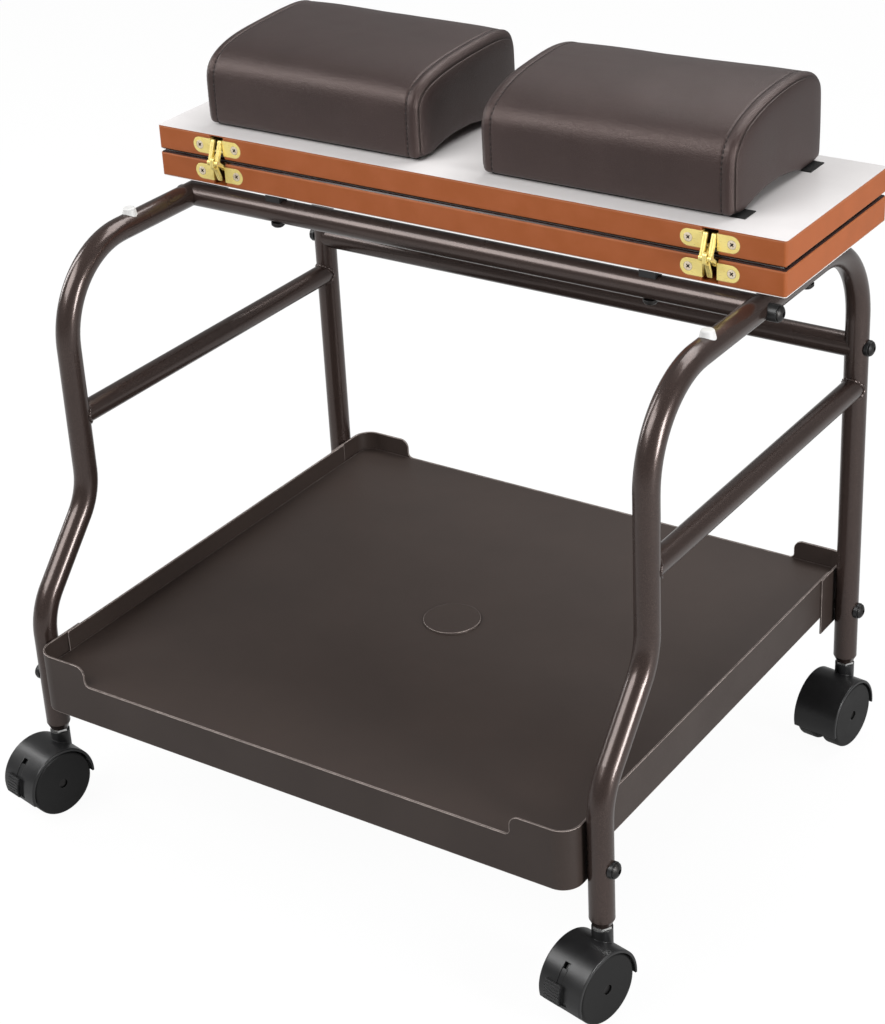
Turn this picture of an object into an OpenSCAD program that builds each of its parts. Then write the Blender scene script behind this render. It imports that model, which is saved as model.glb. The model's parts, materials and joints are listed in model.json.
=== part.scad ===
// Pedicure footrest: a tray on four swivel casters, two bent tube side frames,
// a folding two-leaf table on concealed hinges and two lift-off leg cushions.
// Millimetres. +X is to the right seen from the hinge side, +Z is up,
// and the origin is on the floor at the centre of the four legs.

/* [Frame] */
// Distance between the centres of the two side frames
side_span = 454; // [380:1:560]
// Distance between the centres of the front feet and the rear legs
leg_span = 357; // [320:1:440]
// Height of the top of the tube frame above the floor
frame_h = 409; // [370:1:520]
// Outer diameter of the bent frame tube and of the two cross rails
tube_d = 17; // [14:0.5:20]
// Outer diameter of the straight side rails
side_rail_d = 16; // [12:0.5:18]
// Wall of every tube
tube_wall = 1.2; // [0.8:0.1:2]
// Bend radius of the tube centre at the top corners
bend_r = 64.4; // [45:0.1:75]
// Bend radius of the tube centre at the two bends of the front leg
knee_r = 46.7; // [25:0.1:55]
// Angle from the vertical of the sloping part of the front leg
knee_angle = 41.7; // [30:0.1:55]
// How far the upper part of the front leg stands behind the foot
knee_setback = 60.5; // [50:0.1:80]
// Straight height of the front foot under its first bend
foot_rise = 78.4; // [70:0.1:90]
// Height of the side rails above the floor
side_rail_h = 283.6; // [250:0.1:310]
// Height of the rear cross rail above the floor
rear_rail_h = 314; // [270:0.1:330]

/* [Tray] */
// Height of the tray's floor above the ground
tray_h = 122; // [110:1:134]
// How far the tray runs past the centres of the feet
tray_over = 21.5; // [14:0.5:32]
// Gauge of the sheet
sheet_t = 1.2; // [0.8:0.1:1.6]
// Height of the walls and corner ears above the tray's floor
lip_h = 15; // [8:0.5:22]
// Depth of the front and rear fascias under the tray's floor
fascia_drop = 29.7; // [26:0.1:40]
// Depth of the side strips under the tray's floor
strip_drop = 16.7; // [12:0.1:20]
// Length of an ear, measured from the tray's side
ear_w = 44.2; // [30:0.1:70]
// Length that a fascia runs back along the tray's side
wrap_d = 46; // [42:1:70]
// Outer radius of the tray's corners
tray_corner_r = 14; // [8:0.5:20]
// Diameter of the round cap in the middle of the tray
cap_d = 41.5; // [24:0.5:60]

/* [Table] */
// Length of the two leaves
board_w = 496; // [470:1:600]
// Depth of each leaf
board_d = 148.5; // [146:0.5:150]
// Thickness of each leaf with its faces
board_t = 18; // [17:0.5:22]
// Gap between the folded leaves
leaf_gap = 1.5; // [1:0.1:2]
// Thickness of the white face sheets
face_t = 0.8; // [0.6:0.1:1]
// Height of the spacers between the frame and the lower leaf
spacer_h = 4; // [3.5:0.5:8]

/* [Hinges] */
// Distance from the middle of the table to each hinge
hinge_x = 195.2; // [120:0.1:205]
// Length of a hinge plate
plate_w = 42; // [40:0.5:46]
// Height of a hinge plate
plate_h = 11.6; // [10.6:0.1:13]
// Distance between the two screws of a hinge plate
plate_screw_span = 30.6; // [29.6:0.1:31.6]
// Depth of the hinge cup in the leaf
cup_d = 18.4; // [18.3:0.1:20]

/* [Cushions] */
// Length of the left cushion
left_cushion_w = 183; // [140:1:186]
// Length of the right cushion
right_cushion_w = 188; // [140:1:190]
// Depth of each cushion
cushion_d = 127; // [100:1:131]
// Height of the crown above the cushion's underside
cushion_h = 61.8; // [58:0.1:80]
// Height of the cushion's front edge above its underside
cushion_front_h = 51; // [40:0.1:55]
// Rise of the arched underside
cushion_arch = 5; // [2:0.1:8]
// Middle of the left cushion, left of the table's middle
left_cushion_x = 124; // [112:0.1:130]
// Middle of the right cushion, right of the table's middle
right_cushion_x = 109.6; // [100:0.1:126]
// Thickness of one half of the hook-and-loop fastening
tape_t = 0.7; // [0.6:0.1:1.2]

/* [Casters] */
// Height of a caster from the floor to the end of the leg
caster_h = 60; // [59.6:0.1:62]
// Diameter of the twin wheels
wheel_d = 49.2; // [48:0.1:49.8]
// Width over the hood
hood_w = 35; // [34:0.1:40]
// Distance from the swivel axis to the wheels' axle
trail = 14; // [13:0.1:15]
// Turn of the front casters at rest
front_yaw = -12; // [-180:1:180]
// Turn of the rear casters at rest
rear_yaw = -6; // [-180:1:180]

/* [Hidden] */
$fn = 64;

// Colours as the photograph shows them
bronze = [0.22, 0.16, 0.14];
black = [0.07, 0.07, 0.08];
charcoal = [0.19, 0.18, 0.18];
brass_colour = [0.86, 0.72, 0.36];
orange_wood = [0.68, 0.38, 0.22];
white_face = [0.93, 0.93, 0.93];
leather_brown = [0.22, 0.16, 0.16];
steel = [0.78, 0.78, 0.78];

// One overrun for all cuts, one gap where welded or seated pieces meet
overrun = 1;
weld_gap = 0.05;
seat_gap = 0.3;
run_gap = 0.05;

// Frame lines worked out from the driving sizes
tube_r = tube_d / 2;
bore_r = tube_r - tube_wall;
side_rail_r = side_rail_d / 2;
side_x = side_span / 2;
rear_y = leg_span / 2;
foot_y = -rear_y;
upper_y = foot_y + knee_setback;
top_z = frame_h - tube_r;
foot_top = caster_h + foot_rise;
slope_y = knee_setback - 2 * knee_r * (1 - cos(knee_angle));
slope_len = slope_y / sin(knee_angle);
knee_top = foot_top + 2 * knee_r * sin(knee_angle) + slope_len * cos(knee_angle);
taper_h = 5;
taper_in = 2.3;
nest_gap = 0.03;
sink = 0.5;
bush_h = 22;

// Table lines
rear_clear = 0.5;
board_y1 = rear_y - tube_r - rear_clear;
board_y0 = board_y1 - board_d;
lower_z0 = frame_h + spacer_h;
lower_z1 = lower_z0 + board_t;
upper_z0 = lower_z1 + leaf_gap;
upper_z1 = upper_z0 + board_t;
hinge_z = lower_z1 + leaf_gap / 2;
core_t = board_t - 2 * face_t;
board_corner_r = 2;
board_ease = 1.5;
front_rail_in = 5.4;
front_rail_y = board_y0 + front_rail_in;
spacer_x = 150;
spacer_w = 12;
spacer_d = 9;
side_screw_y = 95;

// Fasteners
bolt_r = 3;
bolt_hole_gap = 0.2;
bolt_head_r = 5.2;
bolt_head_h = 3.4;
socket_r = 1.9;
socket_depth = 2;
washer_r = 5.8;
washer_t = 1.6;
rail_washer_t = 5.8;
rail_bolt_drop = 1;
plug_len = 16;
screw_r = 2;
screw_head_r = 5;
screw_head_h = 3.4;
screw_bite = 11;
bumper_r = 5.7;
bumper_top_r = 4.4;
bumper_edge_r = 1.2;
bumper_y = -41.5;
bumper_stem_r = 2.4;

// Tray lines
tray_x = side_x - tube_r - seat_gap;
tray_d = leg_span + 2 * tray_over;
tray_y = tray_d / 2;
lip_z = tray_h + lip_h;
fascia_z = tray_h - fascia_drop;
strip_z = tray_h - strip_drop;
pan_hem = 11;
ear_r = 7;
ear_foot_r = 4;
lap_d = 14;
tray_bolt_h = 104.5;
nut_r = 5.5;
nut_h = 5;
cap_h = 1.5;
cap_hole_r = 12;
cap_plug_h = 7;

// Hinge linkage: places are measured from a leaf's front edge and middle
pivot_in = 2.5;
pivot_up = 4;
knuckle_out = 5;
far_arm = 15;
far_arm_angle = 68;
arm_w = 2.4;
link_pin_r = 0.9;
pivot_eye_r = 1.9;
centre_eye_r = 2.1;
slot_r = 1.5;
slot_wall = 0.9;
slot_up = 1.6;
slot_down = 2.5;
link_t = 1.4;
link_pitch = 1.5;
cup_half_w = 5;
cup_wall = 1.2;
plate_t = 1.6;
hinge_screw_r = 1.5;
hinge_screw_len = 14;
countersink_r = 3.1;
cross_w = 0.8;
cross_depth = 1;
lower_mid = lower_z0 + board_t / 2;
upper_mid = upper_z0 + board_t / 2;

// Cushion form
cushion_gap = 0.3;
cushion_z = upper_z1 + 2 * tape_t + cushion_gap;
cushion_in = 16.6;
cushion_y0 = board_y0 + cushion_in;
crown_share = 0.62;
rear_h_share = 0.84;
end_power = 16;
front_power = 4;
rear_power = 9;
base_power = 14;
belt_share = 0.45;
arch_from_share = 0.16;
arch_to_share = 0.775;
panel_draw = 1.6;
section_n = 48;
length_n = 20;
tape_front_w = 15;
tape_rear_w = 20;
tape_front_in = 5;
tape_rear_in = 98.9;
tape_end = 5;
tape_inset = 6;

// Caster form
wheel_r = wheel_d / 2;
axle_z = wheel_r;
axle_r = 3;
axle_end = 2;
web_t = 6;
hood_t = 2;
hood_gap = 0.8;
hood_inner_r = wheel_r + hood_gap;
hood_outer_r = hood_inner_r + hood_t;
hood_front_a = -14;
hood_rear_a = 183;
hood_edge_r = 0.95;
rim_reveal = 0.75;
wheel_gap = 0.4;
wheel_edge_r = 2.2;
wheel_rim_w = 3;
neck_r = 7;
neck_gap = 0.2;
collar_h = 1.8;
collar_r = 6.9;
stem_r = 4;
stem_sink = 9;
stem_rise = 24;
neck_floor = 0.4;
brake_x0 = -11;
brake_x1 = 2;
brake_a0 = -8;
brake_a1 = 22;
brake_t = 2.2;
brake_ribs = 7;
rib_cut = 0.7;
rib_share = 0.45;
tongue_x0 = -3;
tongue_x1 = 1;
tongue_a0 = 4;
tongue_a1 = 44;
slot_gap = 0.25;
slot_a0 = -7;
slot_a1 = 53;
leg_a0 = 5;
leg_a1 = 19;
leg_reach = 3.4;
pocket_a0 = -8;
pocket_a1 = 24;
recess_w = 4.5;
recess_depth = 0.9;

// Rounded rectangle centred on the origin
module rounded(w, d, r) {
    square([w - 2 * r, d], center = true);
    square([w, d - 2 * r], center = true);
    for (sx = [-1, 1], sy = [-1, 1])
        translate([sx * (w / 2 - r), sy * (d / 2 - r)]) circle(r);
}

// Round bar between two points of a plane
module bar(a, b, w) {
    d = b - a;
    translate(a) rotate(atan2(d[1], d[0])) translate([0, -w / 2]) square([norm(d), w]);
    translate(a) circle(w / 2);
    translate(b) circle(w / 2);
}

// Turns a drawing so that its x and y become depth and height, drawn out along X
module side_view() {
    rotate([90, 0, 90]) children();
}

// Part of a ring round a line along X, from angle a0 on, measured from the front upwards
module arc_x(a0, a1) {
    mirror([0, 1, 0]) side_view() rotate([0, 0, a0]) rotate_extrude(angle = a1 - a0) children();
}

// Cylinder lying along X
module rod_x(x0, x1, r) {
    translate([x0, 0, 0]) rotate([0, 90, 0]) cylinder(h = x1 - x0, r = r);
}

// Cylinder lying along Y
module rod_y(y0, y1, r) {
    translate([0, y1, 0]) rotate([90, 0, 0]) cylinder(h = y1 - y0, r = r);
}

// Section of the frame tube, thinner by nest on each face
module tube_section(nest) {
    difference() {
        circle(tube_r - nest);
        circle(bore_r + nest);
    }
}

// Bend of the frame tube in the side view, through the angle a from level to upright.
// my and mz turn it to the front or downwards.
module bend(y, z, big_r, a, my, mz) {
    translate([0, y, z]) mirror([0, my, 0]) mirror([0, 0, mz]) side_view()
        rotate_extrude(angle = a) translate([big_r, 0]) tube_section(0);
}

// Straight length of the frame tube, standing at a depth and height and leaning back.
// It is a hair thinner than the bends and sinks into the wall of each at its ends.
module straight(y, z, lean, len) {
    translate([0, y, z]) rotate([-lean, 0, 0]) translate([0, 0, -sink])
        linear_extrude(len + 2 * sink) tube_section(nest_gap);
}

// Tapered end of a leg
module leg_end(y) {
    collar_z = taper_h + 2 * sink;
    translate([0, y, caster_h]) rotate_extrude() polygon([
        [stem_r + run_gap, 0], [tube_r - taper_in, 0], [tube_r, taper_h], [tube_r, collar_z],
        [bore_r, collar_z], [bore_r, taper_h]]);
}

// One side frame: front foot, two bends, upper leg, top run and rear leg
module frame_tube() {
    slope_from = foot_y + knee_r * (1 - cos(knee_angle));
    slope_z = foot_top + knee_r * sin(knee_angle);
    straight_z = caster_h + taper_h + 2 * sink;
    leg_end(foot_y);
    straight(foot_y, straight_z, 0, foot_top - straight_z);
    bend(foot_y + knee_r, foot_top, knee_r, knee_angle, 1, 0);
    straight(slope_from, slope_z, knee_angle, slope_len);
    bend(upper_y - knee_r, knee_top, knee_r, knee_angle, 0, 1);
    straight(upper_y, knee_top, 0, top_z - bend_r - knee_top);
    bend(upper_y + bend_r, top_z - bend_r, bend_r, 90, 1, 0);
    straight(upper_y + bend_r, top_z, 90, rear_y - upper_y - 2 * bend_r);
    bend(rear_y - bend_r, top_z - bend_r, bend_r, 90, 0, 0);
    straight(rear_y, straight_z, 0, top_z - bend_r - straight_z);
    leg_end(rear_y);
}

// Places of the horizontal bolts in a side frame, as depth and height
function rail_bolt_places() = [[front_rail_y, top_z - rail_bolt_drop], [rear_y, rear_rail_h]];
function bolt_places() = concat(rail_bolt_places(), [[foot_y, tray_bolt_h], [rear_y, tray_bolt_h]]);

// Thickness of a saddle washer at the height z: the front rail's right one is thick
function washer_depth(z, s) = z > rear_rail_h && s == 0 ? rail_washer_t : washer_t;

module side_frame(side) {
    hole_r = bolt_r + bolt_hole_gap;
    color(bronze) translate([side * side_x, 0, 0]) difference() {
        frame_tube();
        for (p = bolt_places())
            translate([0, p[0], p[1]]) rod_x(-tube_d, tube_d, hole_r);
        translate([0, side_screw_y, top_z - tube_d])
            cylinder(h = 2 * tube_d, r = screw_r + bolt_hole_gap);
        translate([0, bumper_y, top_z]) cylinder(h = tube_d, r = bumper_stem_r);
    }
}

module side_rail(side) {
    color(bronze) translate([side * side_x, 0, 0]) difference() {
        translate([0, 0, side_rail_h]) rod_y(upper_y, rear_y, side_rail_r);
        translate([0, 0, side_rail_h])
            rod_y(upper_y - overrun, rear_y + overrun, side_rail_r - tube_wall);
        for (y = [upper_y, rear_y])
            translate([0, y, knee_top]) cylinder(h = top_z - knee_top, r = tube_r + weld_gap);
    }
}

// Cross rail along X, notched round the tubes of the side frames
module front_rail() {
    color(bronze) difference() {
        translate([0, front_rail_y, top_z]) rod_x(-side_x, side_x, tube_r);
        translate([0, front_rail_y, top_z]) rod_x(-side_x - overrun, side_x + overrun, bore_r);
        for (s = [-1, 1])
            translate([s * side_x, 0, top_z])
                rod_y(front_rail_y - tube_d, front_rail_y + tube_d, tube_r + weld_gap);
        for (s = [-1, 1])
            translate([s * spacer_x, front_rail_y, top_z - tube_d])
                cylinder(h = 2 * tube_d, r = screw_r + bolt_hole_gap);
    }
}

module rear_rail() {
    color(bronze) difference() {
        translate([0, rear_y, rear_rail_h]) rod_x(-side_x, side_x, tube_r);
        translate([0, rear_y, rear_rail_h]) rod_x(-side_x - overrun, side_x + overrun, bore_r);
        for (s = [-1, 1])
            translate([s * side_x, rear_y, rear_rail_h - tube_d])
                cylinder(h = 2 * tube_d, r = tube_r + weld_gap);
    }
}

// Threaded plugs in the four rail ends
module rail_plugs() {
    x0 = side_x - tube_r - weld_gap - plug_len;
    for (p = [[front_rail_y, top_z], [rear_y, rear_rail_h]], s = [0, 1])
        color(steel) mirror([s, 0, 0]) translate([0, p[0], p[1]]) difference() {
            rod_x(x0, x0 + plug_len, bore_r);
            translate([0, 0, p[1] > rear_rail_h ? -rail_bolt_drop : 0])
                rod_x(x0 - overrun, x0 + plug_len + overrun, bolt_r);
        }
}

// Button-head bolt along X with its head outwards, from the shank's end x0 through
// a washer of the thickness t
module side_bolt(x0, t) {
    seat = side_x + tube_r + t;
    difference() {
        union() {
            rod_x(x0, seat + overrun, bolt_r);
            translate([seat, 0, 0]) rotate([0, 90, 0]) rotate_extrude() intersection() {
                translate([0, bolt_head_h - bolt_head_r * sqrt(2)])
                    circle(bolt_head_r * sqrt(2));
                square([bolt_head_r, bolt_head_h]);
            }
        }
        translate([seat + bolt_head_h - socket_depth, 0, 0]) rotate([0, 90, 0])
            cylinder(h = bolt_head_h, r = socket_r, $fn = 6);
    }
}

module rail_bolts() {
    x0 = side_x - tube_r - plug_len;
    for (p = rail_bolt_places(), s = [0, 1])
        color(black) mirror([s, 0, 0]) translate([0, p[0], p[1]])
            side_bolt(x0, washer_depth(p[1], s));
}

module tray_bolts() {
    for (y = [foot_y, rear_y], s = [0, 1])
        color(black) mirror([s, 0, 0]) translate([0, y, tray_bolt_h])
            side_bolt(tray_x - sheet_t - nut_h - overrun, washer_t);
}

module tray_nuts() {
    for (y = [foot_y, rear_y], s = [0, 1])
        color(steel) mirror([s, 0, 0]) translate([tray_x - sheet_t - nut_h, y, tray_bolt_h])
            rotate([0, 90, 0]) difference() {
                cylinder(h = nut_h, r = nut_r, $fn = 6);
                translate([0, 0, -overrun]) cylinder(h = nut_h + 2 * overrun, r = bolt_r);
            }
}

// Moulded washers that seat the bolt heads on the round tube
module saddle_washers() {
    for (p = bolt_places(), s = [0, 1])
        color(black) mirror([s, 0, 0]) difference() {
            translate([0, p[0], p[1]])
                rod_x(side_x + bore_r, side_x + tube_r + washer_depth(p[1], s), washer_r);
            translate([0, p[0], p[1]]) rod_x(side_x, side_x + tube_d, bolt_r);
            if (p[1] > rear_rail_h)
                translate([side_x, 0, top_z]) rod_y(p[0] - tube_d, p[0] + tube_d, tube_r);
            else
                translate([side_x, p[0], p[1] - tube_d]) cylinder(h = 2 * tube_d, r = tube_r);
        }
}

// Threaded bushes in the leg ends, over the taper
module leg_bushes() {
    for (x = [-side_x, side_x], y = [foot_y, rear_y])
        color(steel) translate([x, y, caster_h + taper_h]) difference() {
            cylinder(h = bush_h, r = bore_r);
            translate([0, 0, -overrun]) cylinder(h = bush_h + 2 * overrun, r = stem_r);
        }
}

// Outline of the tray at an inset from its outer face
module tray_outline(inset) {
    rounded(2 * (tray_x - inset), 2 * (tray_y - inset), tray_corner_r - inset);
}

module tray_floor() {
    inset = 2 * sheet_t;
    color(bronze) difference() {
        translate([0, 0, tray_h - pan_hem]) linear_extrude(pan_hem)
            rounded(2 * (tray_x - inset), 2 * (tray_y - sheet_t), tray_corner_r - inset);
        translate([0, 0, tray_h - pan_hem - overrun]) linear_extrude(pan_hem + overrun - sheet_t)
            rounded(2 * (tray_x - inset - sheet_t), 2 * (tray_y - 2 * sheet_t),
                tray_corner_r - inset - sheet_t);
        translate([0, 0, tray_h - pan_hem]) cylinder(h = 2 * pan_hem, r = cap_hole_r);
    }
}

// Cut between the two ears of a fascia: round outer corners over, small fillets below
module ear_cut(half_w) {
    difference() {
        union() {
            translate([-half_w, 0]) square([2 * half_w, lip_h + overrun]);
            for (s = [-1, 1])
                translate([s * half_w - ear_r, lip_h - ear_r]) square([2 * ear_r, ear_r + overrun]);
        }
        for (s = [-1, 1]) {
            translate([s * (half_w + ear_r), lip_h - ear_r]) circle(ear_r);
            translate([s * (half_w - ear_foot_r), 0]) difference() {
                translate([s < 0 ? -ear_foot_r : 0, 0]) square(ear_foot_r);
                translate([0, ear_foot_r]) circle(ear_foot_r);
            }
        }
    }
}

// Front fascia with its ears and the wraps along the tray's sides
module fascia() {
    half_w = tray_x - ear_w;
    difference() {
        translate([0, 0, fascia_z]) linear_extrude(lip_z - fascia_z) difference() {
            tray_outline(0);
            tray_outline(sheet_t);
            translate([-tray_x - overrun, wrap_d - tray_y])
                square([2 * (tray_x + overrun), tray_d]);
        }
        translate([0, -tray_y + tray_corner_r, tray_h]) rotate([90, 0, 0])
            linear_extrude(tray_corner_r + overrun) ear_cut(half_w);
        for (s = [-1, 1])
            translate([s * tray_x, foot_y, tray_bolt_h])
                rod_x(-tray_corner_r, tray_corner_r, bolt_r + bolt_hole_gap);
    }
}

module tray_front_fascia() {
    color(bronze) fascia();
}

module tray_rear_fascia() {
    color(bronze) mirror([0, 1, 0]) fascia();
}

// Side strip under the fascias' wraps
module side_strip() {
    half_d = tray_y - wrap_d + lap_d;
    translate([tray_x - 2 * sheet_t, -half_d, strip_z]) cube([sheet_t, 2 * half_d, lip_z - strip_z]);
}

module tray_left_strip() {
    color(bronze) mirror([1, 0, 0]) side_strip();
}

module tray_right_strip() {
    color(bronze) side_strip();
}

module tray_cap() {
    edge_r = cap_h / 2;
    color(bronze) translate([0, 0, tray_h]) rotate_extrude() {
        square([cap_d / 2 - edge_r, cap_h]);
        translate([cap_d / 2 - edge_r, 0]) intersection() {
            square([edge_r, cap_h]);
            circle(cap_h);
        }
        translate([0, -cap_plug_h]) square([cap_hole_r, cap_plug_h]);
    }
}

// Tapered stops that carry the leaf when it lies open
module bumpers() {
    top = lower_z0 - seat_gap;
    base = top_z + bore_r - tube_wall;
    edge_z = top - base - bumper_edge_r;
    flat_r = bumper_top_r - bumper_edge_r;
    for (s = [-1, 1])
        color("white") translate([s * side_x, bumper_y, 0]) difference() {
            union() {
                translate([0, 0, base]) rotate_extrude() {
                    polygon([[0, 0], [bumper_r, 0], [bumper_top_r, edge_z], [flat_r, edge_z],
                        [flat_r, top - base], [0, top - base]]);
                    translate([flat_r, edge_z]) circle(bumper_edge_r);
                }
                translate([0, 0, top_z + tube_d / 4])
                    cylinder(h = top - top_z - tube_d / 3, r = bumper_stem_r);
            }
            difference() {
                translate([0, 0, top_z]) rod_y(-tube_d, tube_d, tube_r);
                translate([0, 0, top_z]) cylinder(h = tube_d, r = bumper_stem_r);
            }
        }
}

// Places of the table's spacers: middle, and whether the tube below runs along X
function spacer_places() = [[-spacer_x, front_rail_y, true], [spacer_x, front_rail_y, true],
    [-side_x, side_screw_y, false], [side_x, side_screw_y, false]];

module table_spacers() {
    for (p = spacer_places())
        color(black) translate([p[0], p[1], 0]) rotate([0, 0, p[2] ? 0 : 90]) difference() {
            translate([-spacer_w / 2, -spacer_d / 2, top_z])
                cube([spacer_w, spacer_d, lower_z0 - top_z]);
            translate([0, 0, top_z]) rod_x(-spacer_w, spacer_w, tube_r);
            translate([0, 0, top_z]) cylinder(h = board_t + tube_d, r = screw_r);
        }
}

// Screws from under the tubes into the lower leaf
module table_screws() {
    for (p = spacer_places())
        color(black) translate([p[0], p[1], top_z - tube_r]) {
            cylinder(h = lower_z0 + screw_bite - top_z + tube_r, r = screw_r);
            difference() {
                translate([0, 0, -screw_head_h]) rotate_extrude() intersection() {
                    translate([0, screw_head_r]) circle(screw_head_r * sqrt(2) - overrun);
                    square([screw_head_r, screw_head_h]);
                }
                for (a = [0, 90])
                    translate([0, 0, -screw_head_h]) rotate([0, 0, a])
                        cube([screw_head_r, cross_w, 2 * cross_depth], center = true);
            }
        }
}

// Points of one hinge linkage as depth behind the edge and height over the fold line
fold_up = (board_t + leaf_gap) / 2;
function lower_pivot() = [pivot_in, pivot_up - fold_up];
function upper_pivot() = [pivot_in, fold_up - pivot_up];
function knuckle() = [-knuckle_out, 0];
function arm_end(s) = knuckle() + far_arm * [cos(far_arm_angle), s * sin(far_arm_angle)];

// Places one solid per hinge at its spot on the fold line
module at_hinges() {
    for (s = [-1, 1])
        translate([s * hinge_x, board_y0, hinge_z]) children();
}

// One link plate of the set that is hinged in the lower leaf
module lower_link() {
    difference() {
        union() {
            bar(lower_pivot(), knuckle(), arm_w);
            bar(knuckle(), arm_end(1), arm_w);
            translate(lower_pivot()) circle(pivot_eye_r);
            translate(knuckle()) circle(centre_eye_r);
        }
        translate(lower_pivot()) circle(link_pin_r + run_gap);
        translate(knuckle()) circle(link_pin_r);
    }
}

// One link plate of the set that is hinged in the upper leaf, with the centre pin's slot
module upper_link() {
    high = knuckle() + [0, slot_up];
    low = knuckle() - [0, slot_down];
    difference() {
        union() {
            bar(upper_pivot(), knuckle(), arm_w);
            bar(knuckle(), arm_end(-1), arm_w);
            translate(upper_pivot()) circle(pivot_eye_r);
            bar(low, high, 2 * (slot_r + slot_wall));
        }
        translate(upper_pivot()) circle(link_pin_r + run_gap);
        bar(low, high, 2 * slot_r);
    }
}

module lower_hinge_links() {
    color(brass_colour) at_hinges() for (i = [-2.5, -1.5, 1.5, 2.5])
        translate([i * link_pitch - link_t / 2, 0, 0]) side_view()
            linear_extrude(link_t) lower_link();
}

module upper_hinge_links() {
    color(brass_colour) at_hinges() for (i = [-0.5, 0.5])
        translate([i * link_pitch - link_t / 2, 0, 0]) side_view()
            linear_extrude(link_t) upper_link();
}

module hinge_centre_pins() {
    half = 2.5 * link_pitch + link_t / 2;
    color(steel) at_hinges() translate([0, knuckle()[0], knuckle()[1]])
        rod_x(-half, half, link_pin_r);
}

// Outline of a hinge plate or its recess, cut open in the middle
module plate_outline(grow) {
    rounded(plate_w + 2 * grow, plate_h + 2 * grow, plate_h / 2 + grow - weld_gap);
}

// Cup with its plate and cheeks; up is 1 in the lower leaf and -1 in the upper
module hinge_cup(up) {
    difference() {
        union() {
            translate([0, plate_t, 0]) rotate([90, 0, 0]) linear_extrude(plate_t) plate_outline(0);
            translate([-cup_half_w - cup_wall, 0, -plate_h / 2])
                cube([2 * (cup_half_w + cup_wall), cup_d, plate_h]);
        }
        translate([-cup_half_w, -overrun, -plate_h])
            cube([2 * cup_half_w, cup_d + overrun - cup_wall, 2 * plate_h]);
        translate([0, pivot_in, up * pivot_up]) rod_x(-plate_w, plate_w, link_pin_r);
        for (s = [-1, 1])
            translate([s * plate_screw_span / 2, 0, 0]) rotate([-90, 0, 0]) {
                translate([0, 0, -overrun]) cylinder(h = plate_t + 2 * overrun, r = hinge_screw_r);
                cylinder(h = plate_t, r1 = countersink_r, r2 = hinge_screw_r);
            }
    }
}

module hinge_cups(z, up) {
    for (s = [-1, 1])
        color(brass_colour) translate([s * hinge_x, board_y0, z]) hinge_cup(up);
}

module lower_hinge_cups() {
    hinge_cups(lower_mid, 1);
}

module upper_hinge_cups() {
    hinge_cups(upper_mid, -1);
}

module pivot_pins(z) {
    half = cup_half_w + cup_wall;
    for (s = [-1, 1])
        color(steel) translate([s * hinge_x, board_y0 + pivot_in, z]) rod_x(-half, half, link_pin_r);
}

module lower_hinge_pins() {
    pivot_pins(lower_mid + pivot_up);
}

module upper_hinge_pins() {
    pivot_pins(upper_mid - pivot_up);
}

// Countersunk screws with a cross recess
module plate_screws(z) {
    for (s = [-1, 1], t = [-1, 1])
        color(steel) translate([s * hinge_x + t * plate_screw_span / 2, board_y0, z])
            rotate([-90, 0, 0]) difference() {
                union() {
                    cylinder(h = plate_t, r1 = countersink_r, r2 = hinge_screw_r);
                    cylinder(h = hinge_screw_len, r = hinge_screw_r);
                }
                for (a = [45, 135])
                    rotate([0, 0, a])
                        cube([2 * hinge_screw_r, cross_w, 2 * cross_depth], center = true);
            }
}

module lower_hinge_screws() {
    plate_screws(lower_mid);
}

module upper_hinge_screws() {
    plate_screws(upper_mid);
}

// Plan of a leaf with lightly rounded corners
module board_plan() {
    translate([0, board_y0 + board_d / 2]) rounded(board_w, board_d, board_corner_r);
}

// Cuts a light chamfer round the face at the height z, where the two leaves meet
module ease_cut(z) {
    side = board_ease * sqrt(2);
    translate([0, board_y0 + board_d / 2, z]) {
        for (s = [-1, 1])
            translate([0, s * board_d / 2, 0]) rotate([45, 0, 0])
                cube([board_w + 2 * overrun, side, side], center = true);
        for (s = [-1, 1])
            translate([s * board_w / 2, 0, 0]) rotate([0, 45, 0])
                cube([side, board_d + 2 * overrun, side], center = true);
    }
}

// Core of a leaf from the height z, with the pockets of its two hinges
module board_core(z) {
    pocket_w = 2 * (cup_half_w + cup_wall);
    mid = z + core_t / 2;
    difference() {
        translate([0, 0, z]) linear_extrude(core_t) board_plan();
        for (s = [-1, 1])
            translate([s * hinge_x, board_y0, mid]) {
                translate([-pocket_w / 2, -overrun, -core_t])
                    cube([pocket_w, cup_d + overrun, 2 * core_t]);
                translate([0, plate_t, 0]) rotate([90, 0, 0]) linear_extrude(plate_t + overrun)
                    plate_outline(0);
                for (t = [-1, 1])
                    translate([t * plate_screw_span / 2, 0, 0]) rotate([-90, 0, 0])
                        cylinder(h = hinge_screw_len, r = hinge_screw_r);
            }
    }
}

module board_faces(z) {
    for (h = [z, z + board_t - face_t])
        translate([0, 0, h]) linear_extrude(face_t) board_plan();
}

module lower_board() {
    color(orange_wood) difference() {
        board_core(lower_z0 + face_t);
        ease_cut(lower_z1);
        for (p = spacer_places())
            translate([p[0], p[1], lower_z0]) cylinder(h = screw_bite, r = screw_r);
    }
}

module lower_board_faces() {
    color(white_face) difference() {
        board_faces(lower_z0);
        ease_cut(lower_z1);
        for (p = spacer_places())
            translate([p[0], p[1], lower_z0 - overrun]) cylinder(h = screw_bite, r = screw_r);
    }
}

module upper_board() {
    color(orange_wood) difference() {
        board_core(upper_z0 + face_t);
        ease_cut(upper_z0);
    }
}

module upper_board_faces() {
    color(white_face) difference() {
        board_faces(upper_z0);
        ease_cut(upper_z0);
    }
}

// Rows of the hook-and-loop tape as the start and width of each row
function tape_rows() = [[tape_front_in, tape_front_w], [tape_rear_in, tape_rear_w]];

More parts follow.
